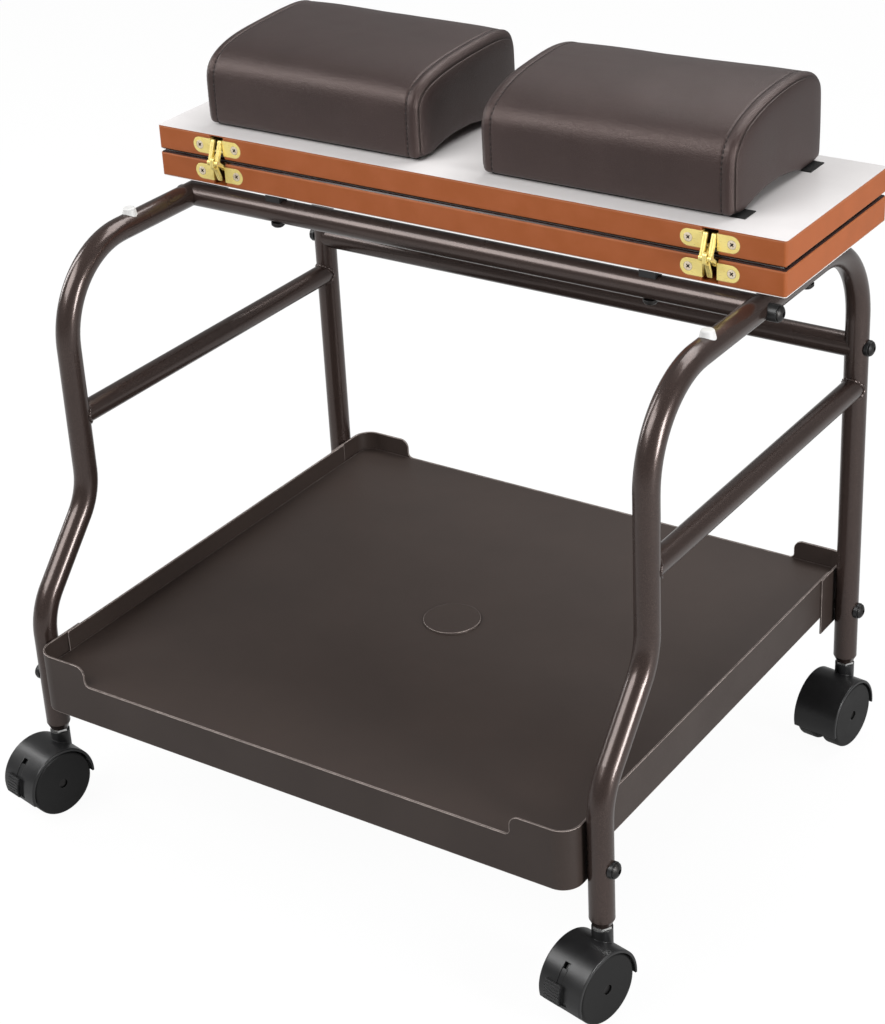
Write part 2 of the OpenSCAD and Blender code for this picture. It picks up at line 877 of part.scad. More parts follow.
module tape_strips(x0, x1, z) {
    for (row = tape_rows())
        translate([x0, cushion_y0 + row[0], z]) cube([x1 - x0, row[1], tape_t]);
}

// The right cushion's strips run out at its free end
module hook_strips() {
    left_half = left_cushion_w / 2 - tape_inset;
    right_half = right_cushion_w / 2;
    color(black) {
        tape_strips(-left_cushion_x - left_half, -left_cushion_x + left_half, upper_z1);
        tape_strips(right_cushion_x - right_half + tape_inset,
            right_cushion_x + right_half + tape_end, upper_z1);
    }
}

module loop_strips(x, w) {
    half = w / 2 - tape_inset;
    color(black) tape_strips(x - half, x + half, upper_z1 + tape_t);
}

module left_loop_strips() {
    loop_strips(-left_cushion_x, left_cushion_w);
}

module right_loop_strips() {
    loop_strips(right_cushion_x, right_cushion_w);
}

// Height of the cushion's top over its underside at the share t of its depth:
// it climbs from the front edge to the crown and falls a little to the rear edge
function top_h(t) = t < crown_share
    ? cushion_front_h + (cushion_h - cushion_front_h) * sin(90 * t / crown_share)
    : cushion_h * (1 - (1 - rear_h_share) * pow((t - crown_share) / (1 - crown_share), 2));
function sign_pow(v, p) = sign(v) * pow(abs(v), p);

// Point of the cushion's section: a rounded box with a crowned top and an arched base
function section_point(a) =
    let (p = sin(a) < 0 ? base_power : cos(a) > 0 ? front_power : rear_power,
        t = 0.5 - 0.5 * sign_pow(cos(a), 2 / p),
        belt = belt_share * cushion_front_h,
        arch = cushion_arch * max(0, 1 - pow((2 * t - arch_from_share - arch_to_share)
            / (arch_to_share - arch_from_share), 2)))
    [t * cushion_d, sin(a) >= 0
        ? belt + (top_h(t) - belt) * pow(sin(a), 2 / p)
        : belt + (arch - belt) * pow(-sin(a), 2 / p)];

// Ring of a cushion of the length w at the angle b of a half turn, drawn in at the ends
function cushion_ring(b, w) =
    let (k = pow(cos(b), 2 / end_power),
        x = w / 2 * sign_pow(sin(b), 2 / end_power))
    [for (i = [0 : section_n - 1])
        let (p = section_point(360 * (i + 0.5) / section_n),
            c = [cushion_d / 2, belt_share * cushion_front_h],
            q = c + k * (p - c))
        [x + sign(x) * panel_draw * (1 - k), q[0], max(q[1], 0)]];

module cushion(x, w) {
    rings = [for (j = [1 : length_n - 1]) cushion_ring(-90 + 180 * j / length_n, w)];
    last = len(rings) - 1;
    half = w / 2 + panel_draw;
    belt = belt_share * cushion_front_h;
    pts = concat([for (r = rings, p = r) p],
        [[-half, cushion_d / 2, belt], [half, cushion_d / 2, belt]]);
    side_faces = [for (j = [0 : last - 1], i = [0 : section_n - 1], k = [0, 1])
        let (i2 = (i + 1) % section_n, a = j * section_n, b = a + section_n)
        k == 0 ? [a + i, b + i, a + i2] : [a + i2, b + i, b + i2]];
    caps = [for (i = [0 : section_n - 1], k = [0, 1])
        let (i2 = (i + 1) % section_n, e = last * section_n, n = len(pts))
        k == 0 ? [i, i2, n - 2] : [e + i2, e + i, n - 1]];
    color(leather_brown) translate([x, cushion_y0, cushion_z])
        polyhedron(points = pts, faces = concat(side_faces, caps));
}

module left_cushion() {
    cushion(-left_cushion_x, left_cushion_w);
}

module right_cushion() {
    cushion(right_cushion_x, right_cushion_w);
}

// Puts a caster's pieces at its leg, turned to its rest direction
module at_caster(sx, sy) {
    translate([sx * side_x, sy * rear_y, 0]) rotate([0, 0, sy < 0 ? front_yaw : rear_yaw]) children();
}

module at_axle() {
    translate([0, -trail, axle_z]) children();
}

// Steel stem with its hexagonal collar between the leg and the hood's neck
module caster_stems() {
    for (x = [-side_x, side_x], y = [foot_y, rear_y])
        color(steel) translate([x, y, caster_h]) {
            translate([0, 0, -collar_h - stem_sink])
                cylinder(h = collar_h + stem_sink + stem_rise, r = stem_r);
            translate([0, 0, -collar_h]) cylinder(h = collar_h, r = collar_r, $fn = 6);
        }
}

// Section of the hood: a band with rounded outer edges over the web that holds the axle
module hood_band() {
    half = hood_w / 2;
    translate([hood_inner_r, -half]) square([hood_t - hood_edge_r, hood_w]);
    translate([hood_inner_r, hood_edge_r - half]) square([hood_t, hood_w - 2 * hood_edge_r]);
    translate([axle_r, -web_t / 2]) square([hood_inner_r + hood_t / 2 - axle_r, web_t]);
    for (s = [-1, 1])
        translate([hood_outer_r - hood_edge_r, s * (half - hood_edge_r)]) circle(hood_edge_r);
}

// Block of a ring round the axle between two radii, two places along it and two angles
module ring_block(r0, r1, x0, x1, a0, a1) {
    arc_x(a0, a1) translate([r0, x0]) square([r1 - r0, x1 - x0]);
}

module hood(braked) {
    neck_top = caster_h - collar_h - neck_gap;
    boss_half = (web_t + wheel_gap) / 2;
    color(black) difference() {
        union() {
            at_axle() arc_x(hood_front_a, hood_rear_a) hood_band();
            at_axle() rod_x(-boss_half, boss_half, 2 * axle_r);
            difference() {
                translate([0, 0, axle_z]) cylinder(h = neck_top - axle_z, r = neck_r);
                at_axle() rod_x(-hood_w, hood_w, hood_inner_r + hood_t / 2);
            }
        }
        at_axle() rod_x(-hood_w, hood_w, axle_r);
        translate([0, 0, caster_h - collar_h - stem_sink - neck_floor])
            cylinder(h = caster_h, r = stem_r + run_gap);
        if (braked) {
            at_axle() ring_block(hood_inner_r - overrun, hood_outer_r + overrun,
                tongue_x0 - slot_gap, tongue_x1 + slot_gap, slot_a0, slot_a1);
            at_axle() ring_block(hood_inner_r - leg_reach - 2 * slot_gap, hood_outer_r,
                tongue_x0 - slot_gap, tongue_x1 + slot_gap, pocket_a0, pocket_a1);
            at_axle() ring_block(hood_outer_r - recess_depth, hood_outer_r + overrun,
                brake_x1, brake_x1 + recess_w, brake_a0, brake_a1);
        }
    }
}

// Brake slide: a ribbed thumb tab, a tongue in the hood's slot and a leg inside
module brake() {
    tab_r = hood_outer_r + slot_gap;
    pitch = (brake_a1 - brake_a0) / brake_ribs;
    color(black) at_axle() difference() {
        union() {
            ring_block(tab_r, tab_r + brake_t, brake_x0, brake_x1, brake_a0, brake_a1);
            ring_block(hood_inner_r + slot_gap, hood_outer_r - slot_gap, tongue_x0, tongue_x1,
                tongue_a0, tongue_a1);
            ring_block(hood_inner_r - leg_reach, tab_r + brake_t / 2, tongue_x0, tongue_x1,
                leg_a0, leg_a1);
        }
        for (i = [0 : brake_ribs - 1])
            ring_block(tab_r + brake_t - rib_cut, tab_r + brake_t + overrun, brake_x0 - overrun,
                brake_x1 + overrun, brake_a0 + i * pitch, brake_a0 + (i + rib_share) * pitch);
    }
}

module axle() {
    half = hood_w / 2 - axle_end;
    color(steel) at_axle() rod_x(-half, half, axle_r);
}

// Section of one wheel as radius and place along the axle, inner face at zero
module wheel_section() {
    w = hood_w / 2 - rim_reveal - web_t / 2 - wheel_gap;
    hub_r = axle_r + run_gap;
    difference() {
        union() {
            translate([hub_r, 0]) square([wheel_r - wheel_edge_r - hub_r, w]);
            translate([hub_r, wheel_edge_r])
                square([wheel_r - hub_r, w - 2 * wheel_edge_r]);
            for (y = [wheel_edge_r, w - wheel_edge_r])
                translate([wheel_r - wheel_edge_r, y]) circle(wheel_edge_r);
        }
        translate([0, w - axle_end])
            square([axle_r + wheel_gap + run_gap, axle_end + overrun]);
        translate([2 * axle_r, -overrun])
            square([wheel_r - wheel_rim_w - 2 * axle_r, w / 2 + overrun]);
    }
}

module wheel(s) {
    color(charcoal) at_axle() mirror([s < 0 ? 1 : 0, 0, 0])
        translate([web_t / 2 + wheel_gap, 0, 0]) rotate([0, 90, 0])
            rotate_extrude() wheel_section();
}

side_frame(-1);  // left_side_frame
side_frame(1);  // right_side_frame
side_rail(-1);  // left_side_rail
side_rail(1);  // right_side_rail
front_rail();
rear_rail();
rail_plugs();
rail_bolts();
saddle_washers();
leg_bushes();
tray_floor();
tray_front_fascia();
tray_rear_fascia();
tray_left_strip();
tray_right_strip();
tray_cap();
tray_bolts();
tray_nuts();
bumpers();
table_spacers();
table_screws();
lower_board();
lower_board_faces();
lower_hinge_cups();
lower_hinge_pins();
lower_hinge_screws();
upper_board();
upper_board_faces();
upper_hinge_cups();
upper_hinge_pins();
upper_hinge_screws();
lower_hinge_links();
hinge_centre_pins();
upper_hinge_links();
hook_strips();
left_cushion();
left_loop_strips();
right_cushion();
right_loop_strips();
caster_stems();
at_caster(-1, -1) hood(true);  // hood_front_left
at_caster(1, -1) hood(true);  // hood_front_right
at_caster(-1, 1) hood(false);  // hood_rear_left
at_caster(1, 1) hood(false);  // hood_rear_right
at_caster(-1, -1) axle();  // axle_front_left
at_caster(1, -1) axle();  // axle_front_right
at_caster(-1, 1) axle();  // axle_rear_left
at_caster(1, 1) axle();  // axle_rear_right
at_caster(-1, -1) brake();  // brake_front_left
at_caster(1, -1) brake();  // brake_front_right
at_caster(-1, -1) wheel(-1);  // wheel_a_front_left
at_caster(-1, -1) wheel(1);  // wheel_b_front_left
at_caster(1, -1) wheel(-1);  // wheel_a_front_right
at_caster(1, -1) wheel(1);  // wheel_b_front_right
at_caster(-1, 1) wheel(-1);  // wheel_a_rear_left
at_caster(-1, 1) wheel(1);  // wheel_b_rear_left
at_caster(1, 1) wheel(-1);  // wheel_a_rear_right
at_caster(1, 1) wheel(1);  // wheel_b_rear_right
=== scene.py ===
"""Looks of the pedicure footrest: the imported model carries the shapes, this gives it
its paint, laminate, brass and plastic, and adds the leatherette cushions with their
seams and stitching, the weld beads of the frame and the lamps, floor and camera."""

import json
import math

import bpy
import numpy as np
from mathutils import Matrix, Vector


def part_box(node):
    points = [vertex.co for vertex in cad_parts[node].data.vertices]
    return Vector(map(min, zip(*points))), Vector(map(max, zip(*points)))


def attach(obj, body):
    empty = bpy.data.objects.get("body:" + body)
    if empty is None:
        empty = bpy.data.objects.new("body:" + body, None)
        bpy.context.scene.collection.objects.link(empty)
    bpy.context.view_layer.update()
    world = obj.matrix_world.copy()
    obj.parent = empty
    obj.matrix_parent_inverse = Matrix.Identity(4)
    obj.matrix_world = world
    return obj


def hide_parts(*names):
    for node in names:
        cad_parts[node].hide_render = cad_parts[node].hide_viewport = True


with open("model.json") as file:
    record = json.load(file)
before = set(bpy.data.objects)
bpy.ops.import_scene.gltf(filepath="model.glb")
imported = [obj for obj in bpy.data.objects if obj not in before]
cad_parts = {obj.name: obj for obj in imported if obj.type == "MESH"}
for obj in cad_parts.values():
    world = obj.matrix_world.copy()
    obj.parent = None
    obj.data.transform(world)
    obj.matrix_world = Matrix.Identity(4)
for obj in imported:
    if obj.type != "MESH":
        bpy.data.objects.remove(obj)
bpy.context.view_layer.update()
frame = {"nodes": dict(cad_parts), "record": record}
nodes = frame["nodes"]
scene = bpy.context.scene
MM = 0.001

# Camera, fitted to the photograph by points of the tube frame and the leaves

IMAGE_W, IMAGE_H = 885, 1024
CAMERA_PLACE = (0.8254, -1.1815, 0.9824)
CAMERA_AZIMUTH, CAMERA_TILT, CAMERA_ROLL = map(math.radians, (34.3078, 27.7207, -2.748))
FOCAL_PIXELS = 2328.2
CENTRE_X, CENTRE_Y = 468.19, 491.95
SENSOR_WIDTH = 36.0


def aim_camera():
    """Camera whose right, up and back directions come from azimuth, tilt and roll."""
    az, tilt, roll = CAMERA_AZIMUTH, CAMERA_TILT, CAMERA_ROLL
    right = Vector((math.cos(az), math.sin(az), 0))
    ahead = Vector((-math.sin(az) * math.cos(tilt), math.cos(az) * math.cos(tilt),
                    -math.sin(tilt)))
    up = right.cross(ahead)
    right, up = (math.cos(roll) * right + math.sin(roll) * up,
                 -math.sin(roll) * right + math.cos(roll) * up)
    turn = Matrix((right, up, -ahead)).transposed().to_4x4()
    data = bpy.data.cameras.new("camera")
    data.sensor_width = SENSOR_WIDTH
    data.lens = FOCAL_PIXELS / IMAGE_H * SENSOR_WIDTH
    data.shift_x = (IMAGE_W / 2 - CENTRE_X) / IMAGE_H
    data.shift_y = (CENTRE_Y - IMAGE_H / 2) / IMAGE_H
    camera = bpy.data.objects.new("camera", data)
    camera.matrix_world = Matrix.Translation(CAMERA_PLACE) @ turn
    scene.collection.objects.link(camera)
    scene.camera = camera


# Shader helpers

FLOAT, COLOUR, VECTOR = "NodeSocketFloat", "NodeSocketColor", "NodeSocketVector"
MIX_SHARE, MIX_VECTOR_A, MIX_VECTOR_B, MIX_COLOUR_A, MIX_COLOUR_B = 0, 4, 5, 6, 7
MIX_VECTOR_OUT, MIX_COLOUR_OUT = 1, 2
VALUE_OUT, COLOUR_OUT = 0, 1
AXIS_X, AXIS_Y, AXIS_Z = 0, 1, 2


def rgb(r, g, b):
    """Opaque colour."""
    return (r, g, b, 1)


def put(tree, kind, settings=None, inputs=None):
    """Adds a node, sets its properties, and sets or links its inputs."""
    made = tree.nodes.new(kind)
    for key, value in (settings or {}).items():
        setattr(made, key, value)
    for key, value in (inputs or {}).items():
        if isinstance(value, bpy.types.NodeSocket):
            tree.links.new(value, made.inputs[key])
        else:
            made.inputs[key].default_value = value
    return made


def sums(tree, operation, a, b, clamp=False):
    """Math node of two values; gives its output."""
    return put(tree, "ShaderNodeMath", {"operation": operation, "use_clamp": clamp},
               {0: a, 1: b}).outputs[0]


def blend_colours(tree, share, a, b):
    """Mix of the colours a and b by a share; gives its output."""
    mixed = put(tree, "ShaderNodeMix", {"data_type": "RGBA"},
                {MIX_SHARE: share, MIX_COLOUR_A: a, MIX_COLOUR_B: b})
    return mixed.outputs[MIX_COLOUR_OUT]


def remap(tree, value, low, high, to_low, to_high):
    """Value carried from low..high to to_low..to_high, and held at those ends."""
    return put(tree, "ShaderNodeMapRange", None,
               {0: value, 1: low, 2: high, 3: to_low, 4: to_high}).outputs[0]


def own_place(tree):
    """The surface point in the object's own coordinates, in metres."""
    return put(tree, "ShaderNodeTexCoord").outputs["Object"]


def split(tree, vector, axis):
    """One coordinate of a vector."""
    return put(tree, "ShaderNodeSeparateXYZ", None, {0: vector}).outputs[axis]


def noise(tree, place, scale, detail, output=VALUE_OUT):
    """Noise texture at a place; its scale is in waves per metre."""
    return put(tree, "ShaderNodeTexNoise", None,
               {"Vector": place, "Scale": scale, "Detail": detail}).outputs[output]


def shader_group(name, inputs, outputs):
    """Empty node group with named sockets; gives the tree, its input and its output node."""
    tree = bpy.data.node_groups.new(name, "ShaderNodeTree")
    for label, kind, value in inputs:
        made = tree.interface.new_socket(name=label, in_out="INPUT", socket_type=kind)
        made.default_value = value
    for label, kind in outputs:
        tree.interface.new_socket(name=label, in_out="OUTPUT", socket_type=kind)
    return tree, tree.nodes.new("NodeGroupInput"), tree.nodes.new("NodeGroupOutput")


def hand_out(tree, target, **values):
    """Links each value to the group's output of that name."""
    for label, value in values.items():
        tree.links.new(value, target.inputs[label])
    return tree


def empty_material(name):
    """Material with an empty node tree; gives both."""
    material = bpy.data.materials.new(name)
    material.use_nodes = True
    material.node_tree.nodes.clear()
    return material, material.node_tree


# Surface groups: each gives a colour, a roughness and a height for the bump

SURFACE_OUTPUTS = [("Colour", COLOUR), ("Roughness", FLOAT), ("Height", FLOAT)]
CLOUD_LOW, CLOUD_HIGH = 0.3, 0.7


def powder_coat_group():
    """Baked powder paint: fine metallic fleck, soft cloudiness and orange peel."""
    cloud_scale, cloud_share, cloud_colour = 14.0, 0.22, rgb(0.012, 0.008, 0.007)
    fleck_low, fleck_high = 0.52, 0.68
    tree, source, target = shader_group(
        "powder coat",
        [("Base", COLOUR, rgb(0.05, 0.04, 0.03)), ("Fleck", COLOUR, rgb(0.2, 0.15, 0.12)),
         ("Fleck share", FLOAT, 0.3), ("Fleck size", FLOAT, 0.0004),
         ("Peel size", FLOAT, 0.002), ("Smooth", FLOAT, 0.25), ("Rough", FLOAT, 0.35)],
        SURFACE_OUTPUTS)
    place = own_place(tree)
    fleck_scale = sums(tree, "DIVIDE", 1.0, source.outputs["Fleck size"])
    peel_scale = sums(tree, "DIVIDE", 1.0, source.outputs["Peel size"])
    fleck = noise(tree, place, fleck_scale, detail=1.0)
    cloud = noise(tree, place, cloud_scale, detail=3.0)
    peel = noise(tree, place, peel_scale, detail=2.0)
    bright = remap(tree, fleck, fleck_low, fleck_high, 0.0, 1.0)
    deep = blend_colours(tree, remap(tree, cloud, CLOUD_LOW, CLOUD_HIGH, 0.0, cloud_share),
                         source.outputs["Base"], cloud_colour)
    colour = blend_colours(tree, sums(tree, "MULTIPLY", bright, source.outputs["Fleck share"]),
                           deep, source.outputs["Fleck"])
    rough = remap(tree, cloud, CLOUD_LOW, CLOUD_HIGH,
                  source.outputs["Smooth"], source.outputs["Rough"])
    return hand_out(tree, target, Colour=colour, Roughness=rough, Height=peel)


def moulded_group():
    """Moulded plastic: spark-eroded grain with faint flow clouds."""
    cloud_scale, cloud_share = 60.0, 0.6
    pale_low, pale_high = 0.35, 0.75
    tree, source, target = shader_group(
        "moulded grain",
        [("Base", COLOUR, rgb(0.02, 0.02, 0.02)), ("Pale", COLOUR, rgb(0.05, 0.05, 0.05)),
         ("Grain size", FLOAT, 0.0006), ("Smooth", FLOAT, 0.35), ("Rough", FLOAT, 0.5)],
        SURFACE_OUTPUTS)
    place = own_place(tree)
    scale = sums(tree, "DIVIDE", 1.0, source.outputs["Grain size"])
    grain = put(tree, "ShaderNodeTexVoronoi", None,
                {"Vector": place, "Scale": scale}).outputs[VALUE_OUT]
    cloud = noise(tree, place, cloud_scale, detail=4.0)
    colour = blend_colours(tree, remap(tree, cloud, pale_low, pale_high, 0.0, cloud_share),
                           source.outputs["Base"], source.outputs["Pale"])
    rough = remap(tree, cloud, CLOUD_LOW, CLOUD_HIGH,
                  source.outputs["Smooth"], source.outputs["Rough"])
    return hand_out(tree, target, Colour=colour, Roughness=rough, Height=grain)


def plated_group():
    """Plated metal: fine rolling lines, a little tarnish in broad patches."""
    patch_scale, patch_share = 220.0, 0.7
    patch_low, patch_high = 0.5, 0.8
    line_stretch = (0.05, 1.0, 1.0)
    tree, source, target = shader_group(
        "plated metal",
        [("Base", COLOUR, rgb(0.8, 0.8, 0.8)), ("Tarnish", COLOUR, rgb(0.4, 0.4, 0.4)),
         ("Line size", FLOAT, 0.0003), ("Smooth", FLOAT, 0.18), ("Rough", FLOAT, 0.34)],
        SURFACE_OUTPUTS)
    place = own_place(tree)
    drawn = put(tree, "ShaderNodeMapping", None,
                {"Vector": place, "Scale": line_stretch}).outputs[0]
    line_scale = sums(tree, "DIVIDE", 1.0, source.outputs["Line size"])
    lines = noise(tree, drawn, line_scale, detail=2.0)
    patch = noise(tree, place, patch_scale, detail=3.0)
    colour = blend_colours(tree, remap(tree, patch, patch_low, patch_high, 0.0, patch_share),
                           source.outputs["Base"], source.outputs["Tarnish"])
    rough = remap(tree, lines, CLOUD_LOW, CLOUD_HIGH,
                  source.outputs["Smooth"], source.outputs["Rough"])
    return hand_out(tree, target, Colour=colour, Roughness=rough, Height=lines)


# Mask groups: where a colour lies over the rest

def edge_highlight_and_shade_group():
    """Mask of a thin line painted along an edge, where the rounded normal leaves the flat one: a
    painted highlight where its colour is pale, painted shade where it is dark.
    """
    flat_facing, edge_facing = 0.985, 0.86
    patch_scale, patch_low, patch_high, patch_least = 90.0, 0.35, 0.6, 0.55
    tree, source, target = shader_group(
        "edge highlight and shade", [("Radius", FLOAT, 0.0008), ("Strength", FLOAT, 1.0)],
        [("Mask", FLOAT), ("Normal", VECTOR)])
    rounded = put(tree, "ShaderNodeBevel", {"samples": 6},
                  {"Radius": source.outputs["Radius"]}).outputs[0]
    flat = put(tree, "ShaderNodeNewGeometry").outputs["Normal"]
    facing = put(tree, "ShaderNodeVectorMath", {"operation": "DOT_PRODUCT"},
                 {0: rounded, 1: flat}).outputs["Value"]
    patch = noise(tree, own_place(tree), patch_scale, detail=3.0)
    edge = remap(tree, facing, flat_facing, edge_facing, 0.0, 1.0)
    patchy = remap(tree, patch, patch_low, patch_high, patch_least, 1.0)
    mask = sums(tree, "MULTIPLY", sums(tree, "MULTIPLY", edge, patchy),
                source.outputs["Strength"], True)
    return hand_out(tree, target, Mask=mask, Normal=rounded)


def side_mask_group():
    """Upright faces of a flat sheet above a height, and all its faces below another one,
    which show only in a pocket of the board; in the sheet's own coordinates."""
    upright_facing = 0.9
    tree, source, target = shader_group(
        "side mask", [("Above", FLOAT, 0.0), ("Below", FLOAT, 0.0)], [("Mask", FLOAT)])
    coordinates = put(tree, "ShaderNodeTexCoord")
    facing = split(tree, coordinates.outputs["Normal"], AXIS_Z)
    height = split(tree, coordinates.outputs["Object"], AXIS_Z)
    upright = sums(tree, "LESS_THAN", sums(tree, "ABSOLUTE", facing, 0.0), upright_facing)
    above = sums(tree, "GREATER_THAN", height, source.outputs["Above"])
    below = sums(tree, "LESS_THAN", height, source.outputs["Below"])
    mask = sums(tree, "MULTIPLY", sums(tree, "MAXIMUM", upright, below), above)
    return hand_out(tree, target, Mask=mask)


def joint_shade_mask_group():
    """Where painted shade darkens the joint between the two leaves: near its height and near their
    outer edges, as far in as the rim.
    """
    rim_fade = 0.0012
    tree, source, target = shader_group(
        "joint shade mask", [("Height", FLOAT, 0.0), ("Half gap", FLOAT, 0.001),
                       ("Front", FLOAT, 0.0), ("Half width", FLOAT, 0.1),
                       ("Rim", FLOAT, 0.003)], [("Mask", FLOAT)])
    place = own_place(tree)
    off = sums(tree, "SUBTRACT", split(tree, place, AXIS_Z), source.outputs["Height"])
    near = sums(tree, "LESS_THAN", sums(tree, "ABSOLUTE", off, 0.0),
                source.outputs["Half gap"])
    from_front = sums(tree, "SUBTRACT", split(tree, place, AXIS_Y), source.outputs["Front"])
    from_end = sums(tree, "SUBTRACT", source.outputs["Half width"],
                    sums(tree, "ABSOLUTE", split(tree, place, AXIS_X), 0.0))
    inward = sums(tree, "MINIMUM", from_front, from_end)
    rim = remap(tree, sums(tree, "SUBTRACT", inward, source.outputs["Rim"]),
                0.0, rim_fade, 1.0, 0.0)
    return hand_out(tree, target, Mask=sums(tree, "MULTIPLY", near, rim))


def depth_shade_mask_group():
    """Painted shade that grows from 0 to a share between two depths along Y, as in a cup or a
    cross recess.
    """
    tree, source, target = shader_group(
        "depth shade mask", [("From", FLOAT, 0.0), ("To", FLOAT, 0.001), ("Share", FLOAT, 1.0)],
        [("Mask", FLOAT)])
    depth = split(tree, own_place(tree), AXIS_Y)
    mask = remap(tree, depth, source.outputs["From"], source.outputs["To"],
                 0.0, source.outputs["Share"])
    return hand_out(tree, target, Mask=mask)


POWDER, MOULDED, PLATED = powder_coat_group(), moulded_group(), plated_group()
EDGE_HIGHLIGHT_AND_SHADE, SIDE, JOINT_SHADE_MASK, DEPTH_SHADE_MASK = (edge_highlight_and_shade_group(), side_mask_group(), joint_shade_mask_group(),
                            depth_shade_mask_group())


# Materials

def finish(name, group, values, bump, shader=None, edge=None, masks=()):
    """Material: a surface group into a Principled shader. bump is (strength, distance).
    Where edge gives (radius, strength, colour), that colour is painted in a thin line along the
    edges: a painted highlight where it is pale, painted shade where it is dark;
    each of masks is (group, values, colour), and its mask lays the colour over the rest."""
    material, tree = empty_material(name)
    surface = put(tree, "ShaderNodeGroup", {"node_tree": group}, values)
    principled = put(tree, "ShaderNodeBsdfPrincipled", None, shader)
    relief = put(tree, "ShaderNodeBump", None,
                 {"Height": surface.outputs["Height"], "Strength": bump[0], "Distance": bump[1]})
    colour = surface.outputs["Colour"]
    # Painted edge line: a highlight where the edge colour is pale, shade where it is dark
    if edge:
        rim = put(tree, "ShaderNodeGroup", {"node_tree": EDGE_HIGHLIGHT_AND_SHADE},
                  {"Radius": edge[0], "Strength": edge[1]})
        colour = blend_colours(tree, rim.outputs["Mask"], colour, edge[2])
        tree.links.new(rim.outputs["Normal"], relief.inputs["Normal"])
    for mask_group, mask_values, mask_colour in masks:
        cover = put(tree, "ShaderNodeGroup", {"node_tree": mask_group}, mask_values)
        colour = blend_colours(tree, cover.outputs["Mask"], colour, mask_colour)
    tree.links.new(colour, principled.inputs["Base Color"])
    tree.links.new(surface.outputs["Roughness"], principled.inputs["Roughness"])
    tree.links.new(relief.outputs[0], principled.inputs["Normal"])
    put(tree, "ShaderNodeOutputMaterial", None, {"Surface": principled.outputs[0]})
    return material


def leatherette():
    """Coated leather cloth: pebbles with a fine grain on them, clouds of two browns, dark between
    the pebbles, painted shade in the seam's crease, and a faint sheen."""
    cloud_scale, warp_scale, pebble_scale, fine_scale = 26.0, 420.0, 1050.0, 2600.0
    warp_share, fine_share = 0.0012, 0.6
    pebble_edge, dark_edge, dark_share, seam_shade_share = 0.22, 0.6, 0.45, 0.9
    brown_to, smooth, rougher = 0.72, 0.385, 0.435
    material, tree = empty_material("leatherette")
    place = own_place(tree)
    warp = noise(tree, place, warp_scale, detail=2.0, output=COLOUR_OUT)
    shifted = put(tree, "ShaderNodeMix", {"data_type": "VECTOR"},
                  {MIX_SHARE: warp_share, MIX_VECTOR_A: place,
                   MIX_VECTOR_B: warp}).outputs[MIX_VECTOR_OUT]
    pebble = put(tree, "ShaderNodeTexVoronoi", {"feature": "DISTANCE_TO_EDGE"},
                 {"Vector": shifted, "Scale": pebble_scale}).outputs[VALUE_OUT]
    fine = noise(tree, place, fine_scale, detail=2.0)
    cloud = noise(tree, place, cloud_scale, detail=4.0)
    crest = remap(tree, pebble, 0.0, pebble_edge, 0.0, 1.0)
    height = sums(tree, "ADD", crest, sums(tree, "MULTIPLY", fine, fine_share))
    colour = blend_colours(tree, remap(tree, cloud, CLOUD_LOW, brown_to, 0.0, 1.0),
                           rgb(0.0205, 0.0120, 0.0112), rgb(0.0285, 0.0170, 0.0160))
    colour = blend_colours(tree, remap(tree, crest, 0.0, dark_edge, dark_share, 0.0), colour,
                           rgb(0.016, 0.010, 0.009))
    # Painted shade: darker in the seam's crease, by the mark that the cover carries on its points
    seam_shade = put(tree, "ShaderNodeAttribute", {"attribute_name": "seam_shade"}).outputs["Fac"]
    colour = blend_colours(tree, sums(tree, "MULTIPLY", seam_shade, seam_shade_share), colour,
                           rgb(0.004, 0.0025, 0.002))
    rough = remap(tree, cloud, CLOUD_LOW, CLOUD_HIGH, smooth, rougher)
    relief = put(tree, "ShaderNodeBump", None,
                 {"Height": height, "Strength": 0.45, "Distance": 0.00016})
    principled = put(tree, "ShaderNodeBsdfPrincipled", None,
                     {"Base Color": colour, "Roughness": rough, "Normal": relief.outputs[0],
                      "Specular IOR Level": 0.66, "Specular Tint": rgb(1.0, 0.80, 0.75),
                      "Sheen Weight": 0.03, "Sheen Roughness": 0.45})
    put(tree, "ShaderNodeOutputMaterial", None, {"Surface": principled.outputs[0]})
    return material


BOARD_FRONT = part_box("upper_board")[0].y
BOARD_HALF_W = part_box("upper_board")[1].x
BOARD_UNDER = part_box("lower_board_faces")[0].z
JOINT_H = (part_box("upper_board_faces")[0].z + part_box("lower_board_faces")[1].z) / 2
EDGE_BROWN = rgb(0.33, 0.090, 0.026)
# Colour of the painted shade in the joint between the leaves
JOINT_SHADE_COLOUR = rgb(0.022, 0.003, 0.001)

# Heights over the underside of the lower leaf's laminate, in metres: its edges are brown from
# the first one up, and so is all of it up to the second one, which shows in pockets only
EDGE_FROM, POCKET_TO = 0.0005, 0.0150

# Depths behind the leaves' front edge, in metres, between which painted shade darkens a cup of
# the hinge plates, a gap beside the arms and the cross of a screw
CUP_DEPTHS, ARM_DEPTHS, CROSS_DEPTHS = (0.0014, 0.0040), (0.0012, 0.0060), (0.0002, 0.0004)


def joint_shade(half_gap, rim):
    """Mask row: painted shade in the joint between the leaves, as far in as the rim."""
    return (JOINT_SHADE_MASK, {"Height": JOINT_H, "Front": BOARD_FRONT, "Half width": BOARD_HALF_W,
                    "Half gap": half_gap, "Rim": rim}, JOINT_SHADE_COLOUR)


def depth_shade(depths, share, colour):
    """Mask row: painted shade of a colour that gathers between two depths behind the leaves' front
    edge.
    """
    return (DEPTH_SHADE_MASK, {"From": BOARD_FRONT + depths[0], "To": BOARD_FRONT + depths[1],
                    "Share": share}, colour)


